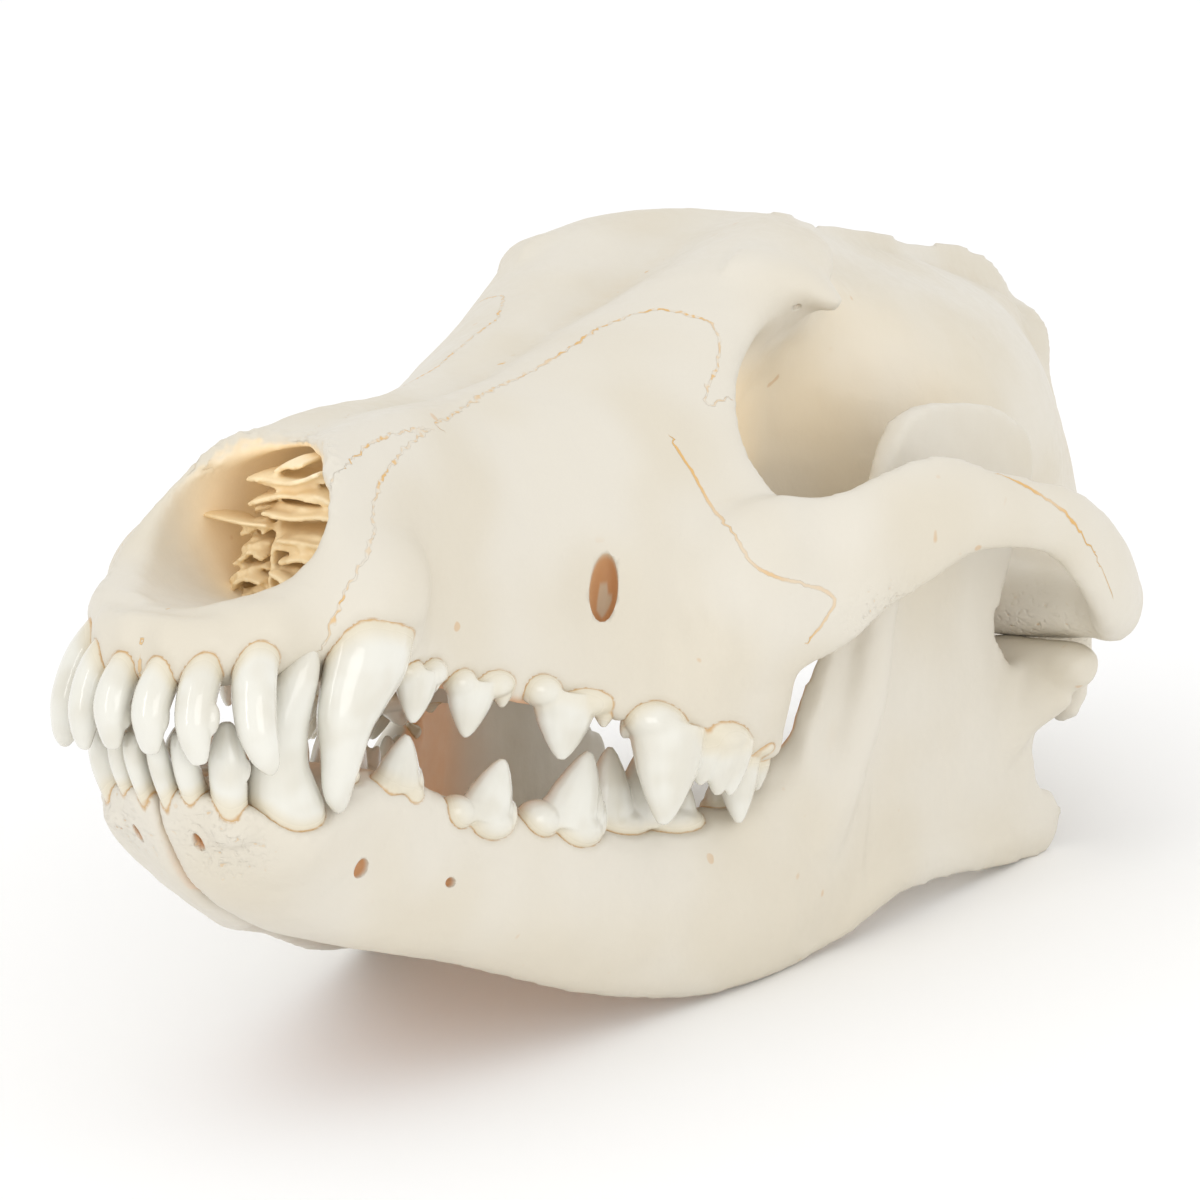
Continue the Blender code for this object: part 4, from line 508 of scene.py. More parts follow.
teeth = {
    "upper_incisor_1": {
        "size": "small", "row": (1, 0.08),
        "path": [[3, 6.6, 5, 1.8, 2.4], [3.1, 4.4, 2.4, 2.2, 2.9], [3.3, 0, -2.6, 2.75, 3],
                 [3.4, -1.9, -6.6, 2.8, 2.6], [3.4, -1.6, -10, 2.3, 1.7], [3.4, -1, -12.4, 1.5, 0.9]],
        "bumps": [[5.5, -1.2, -7.4, 0.8, 0.9, 2.2], [1.2, -1, -8, 0.8, 0.9, 1.8]]},
    "upper_incisor_2": {
        "size": "small", "row": (0.95, 0.3),
        "path": [[7.6, 9, 6, 2.2, 2.6], [8, 6.6, 3.6, 2.5, 3.1], [8.9, 2.2, -1.8, 2.9, 3.3],
                 [9.5, 0.4, -7, 2.8, 2.8], [10, 0.6, -10.6, 2.3, 1.8], [10.3, 1.4, -13.2, 1.4, 0.9]],
        "bumps": [[12, 1.6, -7, 1, 1.1, 2.3]]},
    "upper_incisor_3": {
        "size": "mid", "row": (0.74, 0.67),
        "path": [[12, 14.4, 8, 2.4, 2.4], [13, 11, 5, 3, 3.1], [14.8, 7, -0.6, 3.3, 3.4],
                 [16.4, 5.8, -6.6, 3.1, 3.1], [17.6, 6.4, -10.6, 2.5, 2.3], [18.3, 7.4, -13, 1.7, 1.6],
                 [18.5, 7.8, -14.2, 0.8, 0.8]]},
    "upper_canine": {
        "size": "large", "row": (0.1, 1),
        "path": [[17.6, 31.8, 14, 5.6, 3.4], [19.9, 29.2, 9.8, 7.1, 4.5], [21.2, 25.9, 3.4, 7.6, 4.8],
                 [21.2, 23.3, -2.1, 6.4, 4.1], [21, 21.9, -6.4, 5.2, 3.6], [20.9, 21.9, -11.4, 3.8, 2.8],
                 [20.3, 22.4, -16, 2.8, 2.1], [19.8, 23.7, -18.7, 1.8, 1.4], [19.6, 24.3, -20, 0.8, 0.7]]},
    "upper_premolar_1": {
        "size": "small", "row": (0.12, 1), "at": (20.4, 41.4, 0.2),
        "cusps": [[-0.6, -0.6, 0, 7.8, 4.6, 2.5], [2.8, 3.3, 0, 3.4, 2.1, 1.8],
                  [-3.4, -3.8, 0, 2.8, 1.8, 1.6]],
        "lobes": [[-2.6, 0, -0.2, 2.8, 2.4, 2.2], [2.6, 0, -0.2, 3, 2.4, 2.2]]},
    "upper_premolar_2": {
        "size": "mid", "row": (0.2, 1), "at": (22.4, 55.2, -1.4),
        "cusps": [[-1.6, -2.2, 0, 8.4, 5, 2.8], [4.6, 5.2, 0, 3.8, 2.2, 2.1]],
        "lobes": [[-4.4, 0, -0.2, 2.8, 2.6, 2.4], [2.8, 0, -0.2, 4.2, 2.7, 2.4]]},
    "upper_premolar_3": {
        "size": "mid", "row": (0.31, 1), "rise": -0.08, "at": (27.8, 73.3, -2.9),
        "cusps": [[-1.6, -0.5, 0, 10.2, 6.4, 3.2], [6.4, 7.2, 0, 4.4, 2.4, 2.4]],
        "lobes": [[-6.7, 0, -0.4, 3.8, 3, 2.7], [3, 0, 0.2, 6.2, 3.1, 2.6]]},
    "upper_premolar_4": {
        "size": "large", "row": (0.29, 1), "rise": -0.14, "at": (37, 93.2, -7.2),
        "cusps": [[-4.4, -1.9, 0.6, 16, 7.6, 4.3], [10.4, 11.8, 0, 9.4, 3.8, 2.9], [8, 9, 0, 9.7, 5, 3.1],
                  [4, 5, 0, 8.6, 4.8, 3.2], [-9.4, -9.8, -3.4, 3.6, 2.4, 2.8]],
        "lobes": [[-6.8, 0, 0, 6, 4.1, 3.6], [6, 0, -0.2, 7.4, 3.7, 3.5]]},
    "upper_molar_1": {
        "size": "large", "row": (0.02, 1), "at": (34.6, 112, -10),
        "cusps": [[-1.2, -1.4, 3.4, 13, 5, 4.2], [4.4, 4.8, 2.4, 8, 3.6, 3.6], [0.6, 0.6, -6, 4.6, 4, 4]],
        "lobes": [[0, -0.8, 0, 6.8, 8, 2.9]]},
    "upper_molar_2": {
        "size": "small", "row": (-0.3, 1), "at": (31.6, 122.2, -9.8),
        "cusps": [[-0.8, -0.8, 2, 3.6, 2.4, 2.6], [0.6, 0.6, -2.2, 2.8, 2.2, 2.4]],
        "lobes": [[0, 0, 0, 3.2, 5, 1.9]]},
    "lower_incisor_1": {
        "size": "small", "row": (1, 0.02),
        "path": [[1.9, 11, -23.4, 1.2, 2.1], [2, 8.4, -20.6, 1.4, 2.4], [2.05, 4.6, -16, 1.5, 2.3],
                 [2.1, 2.4, -12.9, 1.55, 1.7], [2.1, 1.8, -10.8, 1.3, 0.9]]},
    "lower_incisor_2": {
        "size": "small", "row": (0.97, 0.2),
        "path": [[5.1, 12.2, -23.4, 1.4, 2.4], [5.3, 9.6, -20.4, 1.6, 2.6], [5.6, 5.6, -15.6, 1.8, 2.5],
                 [5.7, 3.6, -12.2, 1.8, 1.8], [5.5, 2.6, -9.9, 1.2, 1]]},
    "lower_incisor_3": {
        "size": "small", "row": (0.88, 0.47),
        "path": [[9.2, 15.4, -25, 1.8, 2], [9.6, 12.2, -22.4, 2.7, 2.4], [9.9, 10.6, -20, 2.6, 2.7],
                 [10.7, 8.4, -16, 2.8, 2.7], [11, 7.2, -12.4, 2.7, 2.4], [10.9, 6.8, -9.2, 1.8, 1.5],
                 [10.8, 6.8, -7.8, 1, 0.9]],
        "bumps": [[13.1, 8.8, -14.4, 1, 1, 1.8]]},
    "lower_canine": {
        "size": "large", "row": (0.5, 0.86),
        "path": [[11.2, 24.6, -28.4, 4.4, 3], [12.4, 22, -25, 5.7, 4.1], [13.4, 19.4, -20.8, 6.1, 4.6],
                 [13.8, 17.2, -17, 5.3, 4.1], [14.1, 15.8, -13.6, 4.6, 3.6], [14.8, 15, -8.8, 4, 3.3],
                 [15.7, 15, -4.6, 3.6, 3], [16.8, 15.4, -0.6, 3, 2.6], [17.6, 15.9, 2, 2.1, 1.9],
                 [18, 16.2, 3.6, 1, 0.9]]},
    "lower_premolar_1": {
        "size": "small", "row": (0.05, 1), "at": (15.4, 31.4, -15.4),
        "cusps": [[-0.3, -0.3, 0, 4.2, 2.3, 1.9]],
        "lobes": [[0, 0, 0, 2.6, 2, 1.7]]},
    "lower_premolar_2": {
        "size": "mid", "row": (0.22, 1), "rise": -0.1, "at": (17.9, 40.9, -17.3),
        "cusps": [[0, 1, 0, 8.5, 4.6, 2.7], [-2.4, -1.2, 0, 4.6, 3, 2.4], [3.6, 4.4, 0, 4, 1.9, 2]],
        "lobes": [[-2.6, 0, -0.2, 2.9, 2.5, 2.4], [2.6, 0, -0.5, 3, 2.6, 2.5]]},
    "lower_premolar_3": {
        "size": "mid", "row": (0.28, 1), "rise": -0.12, "at": (22, 58, -21.6),
        "cusps": [[0.8, 3.4, 0, 9.6, 5.2, 2.9], [-3.2, 0.6, 0, 5, 3.4, 2.5], [4.8, 5.5, 0, 5.2, 1.8, 2.1],
                  [6, 7, 0, 3.4, 1.5, 2]],
        "lobes": [[-4.2, 0, 0.2, 3.3, 2.8, 2.7], [2.6, 0, -0.5, 4.7, 2.9, 2.9]]},
    "lower_premolar_4": {
        "size": "mid", "row": (0.28, 1), "rise": -0.1, "at": (26, 75.9, -22.8),
        "cusps": [[0.8, 3.7, 0, 12, 6, 3.3], [-3.6, 0.8, 0, 6.6, 4.2, 2.9], [6, 6.8, 0, 7, 2, 2.4],
                  [7.2, 8.2, 0, 4.6, 1.7, 2.2]],
        "lobes": [[-4.8, 0, 0.2, 3.9, 3.3, 3.1], [3.2, 0, -0.5, 5.4, 3.3, 3.3]]},
    "lower_molar_1": {
        "size": "large", "row": (0.26, 1), "at": (28.2, 96.8, -23.2),
        "cusps": [[-7.6, -8.8, 0.4, 12.4, 5.2, 3.6], [-1, 0, 0, 13.6, 5.6, 3.7],
                  [7.4, 8.2, 0.8, 7, 3.8, 2.7], [7.6, 8.6, -2, 6, 3.2, 2.2]],
        "lobes": [[-6, 0, 0, 7, 4, 3.2], [6, 0, 0, 7.6, 4, 3.2]]},
    "lower_molar_2": {
        "size": "small", "row": (0.25, 1), "rise": 0.25, "at": (31.8, 115.6, -20.2),
        "cusps": [[-1.4, -1.6, 0.4, 4.6, 2.5, 2.3], [2.2, 2.4, 0, 3.6, 2.2, 2.1]],
        "lobes": [[0, 0, 0, 4.4, 3, 1.9]]},
    "lower_molar_3": {
        "size": "small", "row": (0.2, 1), "rise": 0.5, "at": (33.9, 123.4, -16.2),
        "cusps": [[0, 0, 0, 2, 1.7, 1.7]],
        "lobes": [[0, 0, 0, 2.1, 2, 1.3]]},
}
crownVoxel = {"small": 0.3, "mid": 0.34, "large": 0.4}
spireShape = [[0, 1], [0.25, 0.93], [0.5, 0.76], [0.72, 0.52], [0.88, 0.3], [0.97, 0.12]]


def spire(name, foot, tip, along, out, length, width, sides=14):
    # a cusp: round sections from its foot to its tip, wider where it grows from the crown
    rings = []
    turn = np.arange(sides) * 2 * math.pi / sides
    for share, size in spireShape:
        middle = foot + (tip - foot) * share
        rings.append(middle + np.outer(np.cos(turn) * length * size, along)
                     + np.outer(np.sin(turn) * width * size, out))
    return loft(name, rings)


def toothSolid(name, tooth):
    along = np.array([*tooth["row"], tooth.get("rise", 0)], float)
    along /= np.linalg.norm(along)
    out = np.cross(along, (0, 0, 1))
    out /= np.linalg.norm(out)
    up = np.cross(out, along) * (-1 if name.startswith("upper") else 1)
    parts = []
    if "path" in tooth:
        path = np.array(tooth["path"], float)
        end = path[-1] + (path[-1] - path[-2]) * [0.2, 0.2, 0.2, 0, 0]
        path = np.vstack([path, [*end[:3], *(path[-1, 3:] * 0.55)]])       # rounds the tip
        parts.append(horn("shaft", path, upright=along, count=4, sides=20))
        parts += [ellipsoid("bump", bump[:3], bump[3:]) for bump in tooth.get("bumps", [])]
    else:
        neck = np.array(tooth["at"], float)
        axes = np.array([along, out, up])
        for lobe in tooth["lobes"]:
            parts.append(ellipsoid("lobe", (0, 0, 0), lobe[3:]))
            place(parts[-1], (points(parts[-1]) + lobe[:3]) @ axes + neck)
        for low, high, t, height, length, width in tooth["cusps"]:
            foot = neck + along * low + out * t * 0.3 - up * 0.6
            tip = neck + along * high + out * t + up * height
            parts.append(spire("cusp", foot, tip, along, out, length, width))
    solid = fuse(name + "_crown", parts, crownVoxel[tooth["size"]])
    relax(solid, 2)
    return solid


# Distances that the materials read

def treeOf(objects):
    bm = bmesh.new()
    for obj in objects:
        bm.from_mesh(obj.data)
    tree = BVHTree.FromBMesh(bm)
    bm.free()
    return tree


def gapTo(obj, tree, reach):
    # how far each point is from another surface, up to reach; less than nothing inside it
    gap = np.full(len(obj.data.vertices), float(reach))
    for k, vert in enumerate(obj.data.vertices):
        near, normal, face, distance = tree.find_nearest(vert.co, reach)
        if near is not None:
            gap[k] = math.copysign(distance, (vert.co - near).dot(normal))
    return gap


def keep(obj, name, values):
    layer = obj.data.attributes.new(name, "FLOAT", "POINT")
    layer.data.foreach_set("value", np.asarray(values, np.float32))


farOff = 9.0                     # mm from a suture or socket: past all that the materials show
sutureLabels = ["wavyAcross", "wavyAway", "plainAcross", "plainAway"]


def keepEven(obj, value, names):
    for name in names:
        keep(obj, name, np.full(len(obj.data.vertices), float(value)))


def hollows(obj, passes):
    # how far each point lies below the even surface round it
    before, out = points(obj), normals(obj)
    relax(obj, passes, 0.8)
    sunk = np.sum((points(obj) - before) * out, axis=1)
    place(obj, before)
    return sunk


def across(obj, lines):
    # signed distance from the nearest line drawn on the surface, and the plain distance
    co, out = points(obj), normals(obj)
    toLeft = np.ones_like(co)
    toLeft[co[:, 0] < 0, 0] = -1
    co, out = co * toLeft, out * toLeft
    away = np.full(len(co), farOff)
    side = away.copy()
    for line in lines:
        line = np.array(line, float)
        knots = np.column_stack([np.arange(len(line)), line])
        line = curveThrough(knots, np.linspace(0, len(line) - 1, 4 * len(line)))
        for a, b in zip(line, line[1:]):
            run = b - a
            share = np.clip((co - a) @ run / (run @ run), 0, 1)
            off = co - a - share[:, None] * run
            distance = np.linalg.norm(off, axis=1)
            sign = np.sign(np.sum(np.cross(run, out) * off, axis=1))
            nearer = distance < away
            away[nearer] = distance[nearer]
            side[nearer] = (distance * sign)[nearer]
    return side, away


def refine(obj, tree, reach, cuts=1):
    # smaller faces near another surface
    bm = bmesh.new()
    bm.from_mesh(obj.data)
    bm.verts.ensure_lookup_table()
    close = {v.index for v in bm.verts if tree.find_nearest(v.co, reach)[0] is not None}
    edges = [e for e in bm.edges if e.verts[0].index in close and e.verts[1].index in close]
    bmesh.ops.subdivide_edges(bm, edges=edges, cuts=cuts, use_grid_fill=True)
    bmesh.ops.triangulate(bm, faces=[f for f in bm.faces if len(f.verts) > 4])
    bm.to_mesh(obj.data)
    bm.free()


def uneven(obj, size, height, seed):
    # the slight unevenness of real bone; height is one number, or one a point
    co, out = points(obj), normals(obj)
    lift = np.array([noise.noise(Vector((x / size, y / size, z / size + seed))) for x, y, z in co])
    place(obj, co + out * (lift * height)[:, None])


def collar(obj, tree):
    # a low rim round each tooth, a sunk line against it, and how far each point is from the teeth
    gap = gapTo(obj, tree, 4)
    rim = np.clip(1 - np.abs(gap - 1.1) / 1.1, 0, 1)
    line = np.clip(1 - np.abs(gap) / 0.4, 0, 1)
    place(obj, points(obj) + normals(obj) * (rim * 0.2 - line * 0.15)[:, None])
    keep(obj, "socket", np.abs(gapTo(obj, tree, 4)))


def triangles(obj):
    obj.data.calc_loop_triangles()
    return len(obj.data.loop_triangles)


# Sutures on the left side of the skull, as points on the surface

wavySutures = [
    [(10.1, 56.1, 36.9), (13.3, 40.8, 31.3), (16.5, 31.8, 25.7), (19.7, 27.2, 20.7), (21.2, 22.5, 16.7),
     (21, 18.3, 10.6), (19.7, 16.7, 4.4)],
    [(12.3, 25.9, 27.8), (10.4, 40.2, 34), (10.1, 56.1, 36.9), (7.6, 73, 42.1), (9.2, 90.1, 48.5),
     (9.8, 101.9, 54.2)],
    [(9.8, 101.9, 54.2), (14.3, 110.3, 57.7), (17.9, 112.4, 57.5), (22.6, 114.9, 55.9), (25, 113.9, 52.6),
     (26.2, 111.7, 49.6), (26.9, 108.4, 46.4), (28, 106.3, 43.4), (29.3, 110, 44.1)],
    [(0, 36, 33.5), (0, 49, 37.6), (0, 61, 39.7), (0, 89, 46.7), (0, 117, 58.2), (0, 137.4, 67.2),
     (0, 160, 75)],
]
plainSutures = [
    [(28, 97.5, 36.5), (33.4, 99.6, 28.5), (40.7, 99.1, 21.6), (42.7, 100.1, 18.8), (45.2, 103.3, 17.3),
     (49.8, 113.1, 15.1), (49.5, 113.1, 11.9), (48.2, 110.9, 8.3)],
    [(61.5, 146, 36.5), (63.5, 150.5, 34.3), (66.7, 157.5, 31.1), (69.4, 165.3, 25.1), (70.6, 171.1, 19.9),
     (70.6, 174, 17)],
    [(0, 5.4, 7.6), (0, 1.6, 5.2), (0, -0.3, 1.4), (0, -0.3, -2)],
]


# Materials: sockets wrapped so that they add and multiply as numbers do

class Wire:
    def __init__(self, tree, socket=None):
        self.tree = tree
        self.socket = socket

    def make(self, kind, settings=None, inputs=None, output=0):
        node = self.tree.nodes.new("ShaderNode" + kind)
        for key, value in (settings or {}).items():
            setattr(node, key, value)
        for key, value in (inputs or {}).items():
            if isinstance(value, Wire):
                self.tree.links.new(value.socket, node.inputs[key])
            else:
                node.inputs[key].default_value = value
        return Wire(self.tree, node.outputs[output])

    def maths(self, operation, *values):
        return self.make("Math", {"operation": operation}, dict(enumerate(values)))

    def __add__(self, other):
        return self.maths("ADD", self, other)

    def __radd__(self, other):
        return self.maths("ADD", other, self)

    def __sub__(self, other):
        return self.maths("SUBTRACT", self, other)

    def __rsub__(self, other):
        return self.maths("SUBTRACT", other, self)

    def __mul__(self, other):
        return self.maths("MULTIPLY", self, other)

    def __rmul__(self, other):
        return self.maths("MULTIPLY", other, self)

    def size(self):
        return self.maths("ABSOLUTE", self)

    def top(self, other):
        return self.maths("MAXIMUM", self, other)

    def ramp(self, low, high, start=0.0, end=1.0):
        # start up to low, end from high, smooth between
        return self.make("MapRange", {"interpolation_type": "SMOOTHSTEP"},
                         {"Value": self, "From Min": low, "From Max": high, "To Min": start, "To Max": end})

    def tint(self, under, over):
        # self mixes the colour over into the colour under
        return self.make("Mix", {"data_type": "RGBA"}, {0: self, 6: under, 7: over}, output=2)

    def value(self, name):
        return self.make("Attribute", {"attribute_name": name}, output=2)

    def grain(self, size, detail, rough=0.5):
        # noise with features of about size mm
        where = self.make("TexCoord", output=3)
        return self.make("TexNoise", None, {"Vector": where, "Scale": 1000 / size, "Detail": detail,
                                            "Roughness": rough})


def rgb(r, g, b):
    # a colour as it looks on a screen, 0 to 255
    channel = [c / 255 for c in (r, g, b)]
    return tuple(c / 12.92 if c <= 0.04045 else ((c + 0.055) / 1.055) ** 2.4 for c in channel) + (1,)


def newMaterial(name):
    material = bpy.data.materials.new(name)
    material.use_nodes = True
    tree = material.node_tree
    surface = tree.nodes["Principled BSDF"]
    return material, Wire(tree), surface


def feed(wire, surface, socket):
    wire.tree.links.new(wire.socket, surface.inputs[socket])


def bumpOf(height):
    # height is in mm
    return height.make("Bump", None, {"Height": height, "Distance": mm, "Strength": 1.0})


boneFinish = {
    # colours as they look on a screen; deep is the painted shade in hollows
    "bone": {"pale": rgb(217, 211, 198), "mid": rgb(213, 205, 188), "deep": rgb(210, 190, 156)},
    "scrolls": {"pale": rgb(250, 232, 196), "mid": rgb(244, 220, 176), "deep": rgb(226, 182, 122)},
    "inner": rgb(247, 229, 197), "mouth": rgb(236, 182, 134), "seam": rgb(218, 168, 84),
    # hole and pit are painted shade inside holes and pits
    "socket": rgb(188, 146, 84), "hole": rgb(206, 158, 112), "pit": rgb(206, 170, 120),
    "speck": rgb(204, 160, 104),
    # light that thin bone lets through in the mouth and the nose
    "mouthGlow": (0.06, 0.036, 0.02, 1), "innerGlow": (0.085, 0.066, 0.04, 1),
}
enamelFinish = {"pale": rgb(224, 222, 212), "mid": rgb(216, 212, 199), "neck": rgb(216, 202, 170),
                "gumLine": rgb(196, 152, 90), "coat": 0.7, "coatRoughness": 0.07}


def boneMaterial(name, shades):
    material, start, surface = newMaterial(name)
    finish = boneFinish
    broad = start.grain(26, 1)
    fine = start.grain(2.2, 2, 0.6)
    sunk, inner, mouth = start.value("sunk"), start.value("inner"), start.value("mouth")
    # painted shade: hollows turn towards the deep colour; on the jaw the same value also carries the chin's
    # own tan seam
    hollowShadeAndSeam = (sunk + (fine - 0.5) * 0.25).ramp(0.3, 1.5, 0, 0.5)
    colour = broad.ramp(0.36, 0.66).tint(shades["pale"], shades["mid"])
    colour = hollowShadeAndSeam.tint(colour, shades["deep"])
    colour = (inner + (broad - 0.5) * 0.5).ramp(0.05, 0.9, 0, 0.95).tint(colour, finish["inner"])
    colour = (mouth + (broad - 0.5) * 0.4).ramp(0.1, 0.9, 0, 0.9).tint(colour, finish["mouth"])
    # painted glow: the nose, eye socket and mouth give off a faint light of their own, for light that thin
    # bone lets through
    glow = inner.tint(mouth.tint((0, 0, 0, 1), finish["mouthGlow"]), finish["innerGlow"])

    # sutures: a wavy line broken into beads, and a plain one
    wiggle = (start.grain(1.6, 1) - 0.5) * 1.7
    beads = start.grain(1.1, 0).ramp(0.4, 0.62, 0.15, 1)
    stretch = start.grain(9, 0).ramp(0.35, 0.65, 0.35, 1)
    wavy = (start.value("wavyAcross") + wiggle).size().ramp(0.1, 0.36, 1, 0)
    wavy = wavy * start.value("wavyAway").ramp(1.3, 2.2, 1, 0)
    plain = (start.value("plainAcross") + wiggle * 0.4).size().ramp(0.16, 0.42, 1, 0)
    plain = plain * start.value("plainAway").ramp(1.3, 2.2, 1, 0)
    groove = wavy.top(plain)
    seam = (wavy * beads).top(plain) * stretch
    colour = (seam * 0.85).tint(colour, finish["seam"])

    # gum lines, painted shade inside holes and pits, and specks
    edge = (start.value("socket") + (fine - 0.5) * 0.16).ramp(0.02, 0.3, 1, 0)
    edge = edge * fine.ramp(0.3, 0.6, 0.35, 1)
    colour = (edge * 0.8).tint(colour, finish["socket"])
    # painted shade: the walls inside holes take the darker hole colour, more so deeper in
    colour = start.value("hole").ramp(0.1, 0.9, 0, 0.95).tint(colour, finish["hole"])
    crumbs = start.grain(1.1, 1)
    porous = start.value("porous")
    # painted shade: the bottoms of the bumped pits in porous bone take the darker pit colour
    colour = (crumbs.ramp(0.24, 0.31, 1, 0) * porous * 0.55).tint(colour, finish["pit"])
    specks = start.grain(3.1, 0).ramp(0.12, 0.18, 1, 0) * broad.ramp(0.45, 0.6)
    colour = (specks * 0.5).tint(colour, finish["speck"])

    height = (fine - 0.5) * 0.06 + (start.grain(7, 1) - 0.5) * 0.22 - groove * 0.1
    height = height + (crumbs.ramp(0.24, 0.5, -0.14, 0) + crumbs * 0.14) * porous
    feed(colour, surface, "Base Color")
    feed(fine.ramp(0.3, 0.7, 0.4, 0.52) + sunk.ramp(0, 1, 0, 0.12), surface, "Roughness")
    feed(glow, surface, "Emission Color")
    feed(bumpOf(height), surface, "Normal")
    surface.inputs["Emission Strength"].default_value = 1.0
    surface.inputs["Specular IOR Level"].default_value = 0.4
    material.cycles.emission_sampling = "NONE"       # too faint to light anything else
    return material


def enamelMaterial(name):
    material, start, surface = newMaterial(name)
    finish = enamelFinish
    neck = start.value("neck")
    fine = start.grain(1.4, 1)
    broad = start.grain(6, 1)
    colour = broad.ramp(0.35, 0.7).tint(finish["pale"], finish["mid"])
    colour = (neck + (broad - 0.5) * 1.6).ramp(0.2, 2.6, 0.6, 0).tint(colour, finish["neck"])
    colour = (neck + (fine - 0.5) * 0.3).ramp(0.0, 0.32, 0.85, 0).tint(colour, finish["gumLine"])
    height = (start.grain(2.2, 1) - 0.5) * 0.04 + (fine - 0.5) * 0.01
    feed(colour, surface, "Base Color")
    feed(neck.ramp(0, 1.6, 0.4, 0.16), surface, "Roughness")
    feed(bumpOf(height), surface, "Normal")
    surface.inputs["Coat Weight"].default_value = finish["coat"]
    surface.inputs["Coat Roughness"].default_value = finish["coatRoughness"]
    return material


boneLook = boneMaterial("boneLook", boneFinish["bone"])
scrollLook = boneMaterial("scrollLook", boneFinish["scrolls"])
enamelLook = enamelMaterial("enamelLook")


def seat(obj, material, nodes):
    # sets a finished piece down as the skull rests, and hides the parts it stands for
    obj.data.transform(skullToWorld)
    obj.data.materials.clear()
    obj.data.materials.append(material)
    obj.data.shade_smooth()
    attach(obj, "root")
    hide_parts(*nodes)


# Teeth

print("teeth")
crowns = {}
for name, tooth in teeth.items():
    crowns[name] = toothSolid(name, tooth)
upperLeft = [crown for name, crown in crowns.items() if name.startswith("upper")]
lowerLeft = [crown for name, crown in crowns.items() if name.startswith("lower")]
upperTwins = [mirrored(crown, crown.name + "Twin") for crown in upperLeft]
upperTree = treeOf(upperLeft + upperTwins)
lowerTree = treeOf(lowerLeft)


# Bones

print("cranium")
skull = cranium()
refine(skull, upperTree, 2.2)
noseEdge = pair(horn("noseEdge", skullForm["noseEdge"], count=4, sides=8))
edgeTree = treeOf(noseEdge)
discard(noseEdge)
refine(skull, edgeTree, 2.4, 2)
relax(skull, 1, 0.4)
edgeNear = np.clip(1.6 - np.abs(gapTo(skull, edgeTree, 2.4)) / 1.5, 0, 1)
press(skull, skullForm["details"])
uneven(skull, 11, 0.3, 3)
uneven(skull, 4, 0.12, 8)
uneven(skull, 1.4, edgeNear * 0.5, 4)
uneven(skull, 2.4, np.clip(patches(points(skull), skullForm["rough"]) * 1.5, 0, 1) * 0.45, 6)
wholeSkull = treeOf([skull])
slit = ellipsoid("slit", **skullForm["slit"])
browHole = ellipsoid("browHole", **skullForm["browHole"])
carve(skull, pair(slit) + pair(browHole))
collar(skull, upperTree)
# sunk drives the painted shade in the hollows of the skull
keep(skull, "sunk", hollows(skull, 24))
# how far a point lies inside a carved hole, for the painted shade there
keep(skull, "hole", np.clip(-gapTo(skull, wholeSkull, 4) / 2, 0, 1))
co, out = points(skull), normals(skull)
middleOfNose = 20
toMiddle = np.clip(0.4 - out[:, 0] * np.sign(co[:, 0]) * 1.4, 0, 1)
outwards = out[:, 0] * co[:, 0] + out[:, 2] * (co[:, 2] - middleOfNose)
facing = np.clip(-outwards / np.hypot(co[:, 0], co[:, 2] - middleOfNose) * 1.6, 0, 1)
nose = nearness(co, (0, 46, 21), (24, 36, 22)) * 2.4 * facing
keep(skull, "inner", np.clip(nose + patches(co, skullForm["eye"]), 0, 1))
palate = nearness(co, (0, 70, -8), (34, 80, 16)) * 3 * np.clip(-out[:, 2] * 1.3 - 0.2 + toMiddle, 0, 1)
keep(skull, "mouth", np.clip(palate, 0, 1))
keep(skull, "porous", np.clip(patches(co, skullForm["porous"]) * 1.6, 0, 1))
for label, lines in (("wavy", wavySutures), ("plain", plainSutures)):
    side, away = across(skull, lines)
    keep(skull, label + "Across", side)
    keep(skull, label + "Away", away)
print("cranium triangles", triangles(skull))

print("lower jaw")
jaw = dentary("leftJawBone")
refine(jaw, lowerTree, 2.0)
relax(jaw, 1, 0.4)
press(jaw, jawForm["chin"])
uneven(jaw, 10, 0.4, 5)
uneven(jaw, 4, 0.14, 9)
foramina = [ellipsoid("foramen", centre, radii) for centre, radii in jawForm["foramina"]]
refine(jaw, treeOf(foramina), 1.6)
wholeJaw = treeOf([jaw])
carve(jaw, foramina)
collar(jaw, lowerTree)
co, out = points(jaw), normals(jaw)
chinSeam = nearness(co, (0, 18, -26), (2.2, 24, 16))
# sunk drives the painted shade in hollows; the chin seam added to it is the bone's own tan joint
keep(jaw, "sunk", hollows(jaw, 24) + chinSeam * 2)
# how far a point lies inside a carved hole, for the painted shade there
keep(jaw, "hole", np.clip(-gapTo(jaw, wholeJaw, 4) / 1.2, 0, 1))
innerSide = np.clip(-out[:, 0] * 1.6 - 0.2, 0, 1) * (co[:, 2] > -34)
keep(jaw, "mouth", np.clip(nearness(co, (20, 84, -24), (40, 110, 60)) * 2.5 * innerSide, 0, 1))
keep(jaw, "porous", np.clip(nearness(co, (8, 12, -24), (10, 14, 12)) * 1.5, 0, 1))
keepEven(jaw, 0, ["inner"])
keepEven(jaw, farOff, sutureLabels)
print("jaw triangles", triangles(jaw))

skullTree = treeOf([skull])
jawTree = treeOf([jaw])
for name, crown in crowns.items():
    gap = gapTo(crown, skullTree if name.startswith("upper") else jawTree, 6)
    keep(crown, "neck", np.clip(gap, 0, 6))
print("neck distances")


# Scrolls in the nose: leaves from the near wall to the middle, then the far side's, whose back row
# goes on upwards. Each row has its count, the height of its lowest leaf, the step up to the next,
# the y of the front and back edges, how far a leaf bows up, and how fast its waves change.

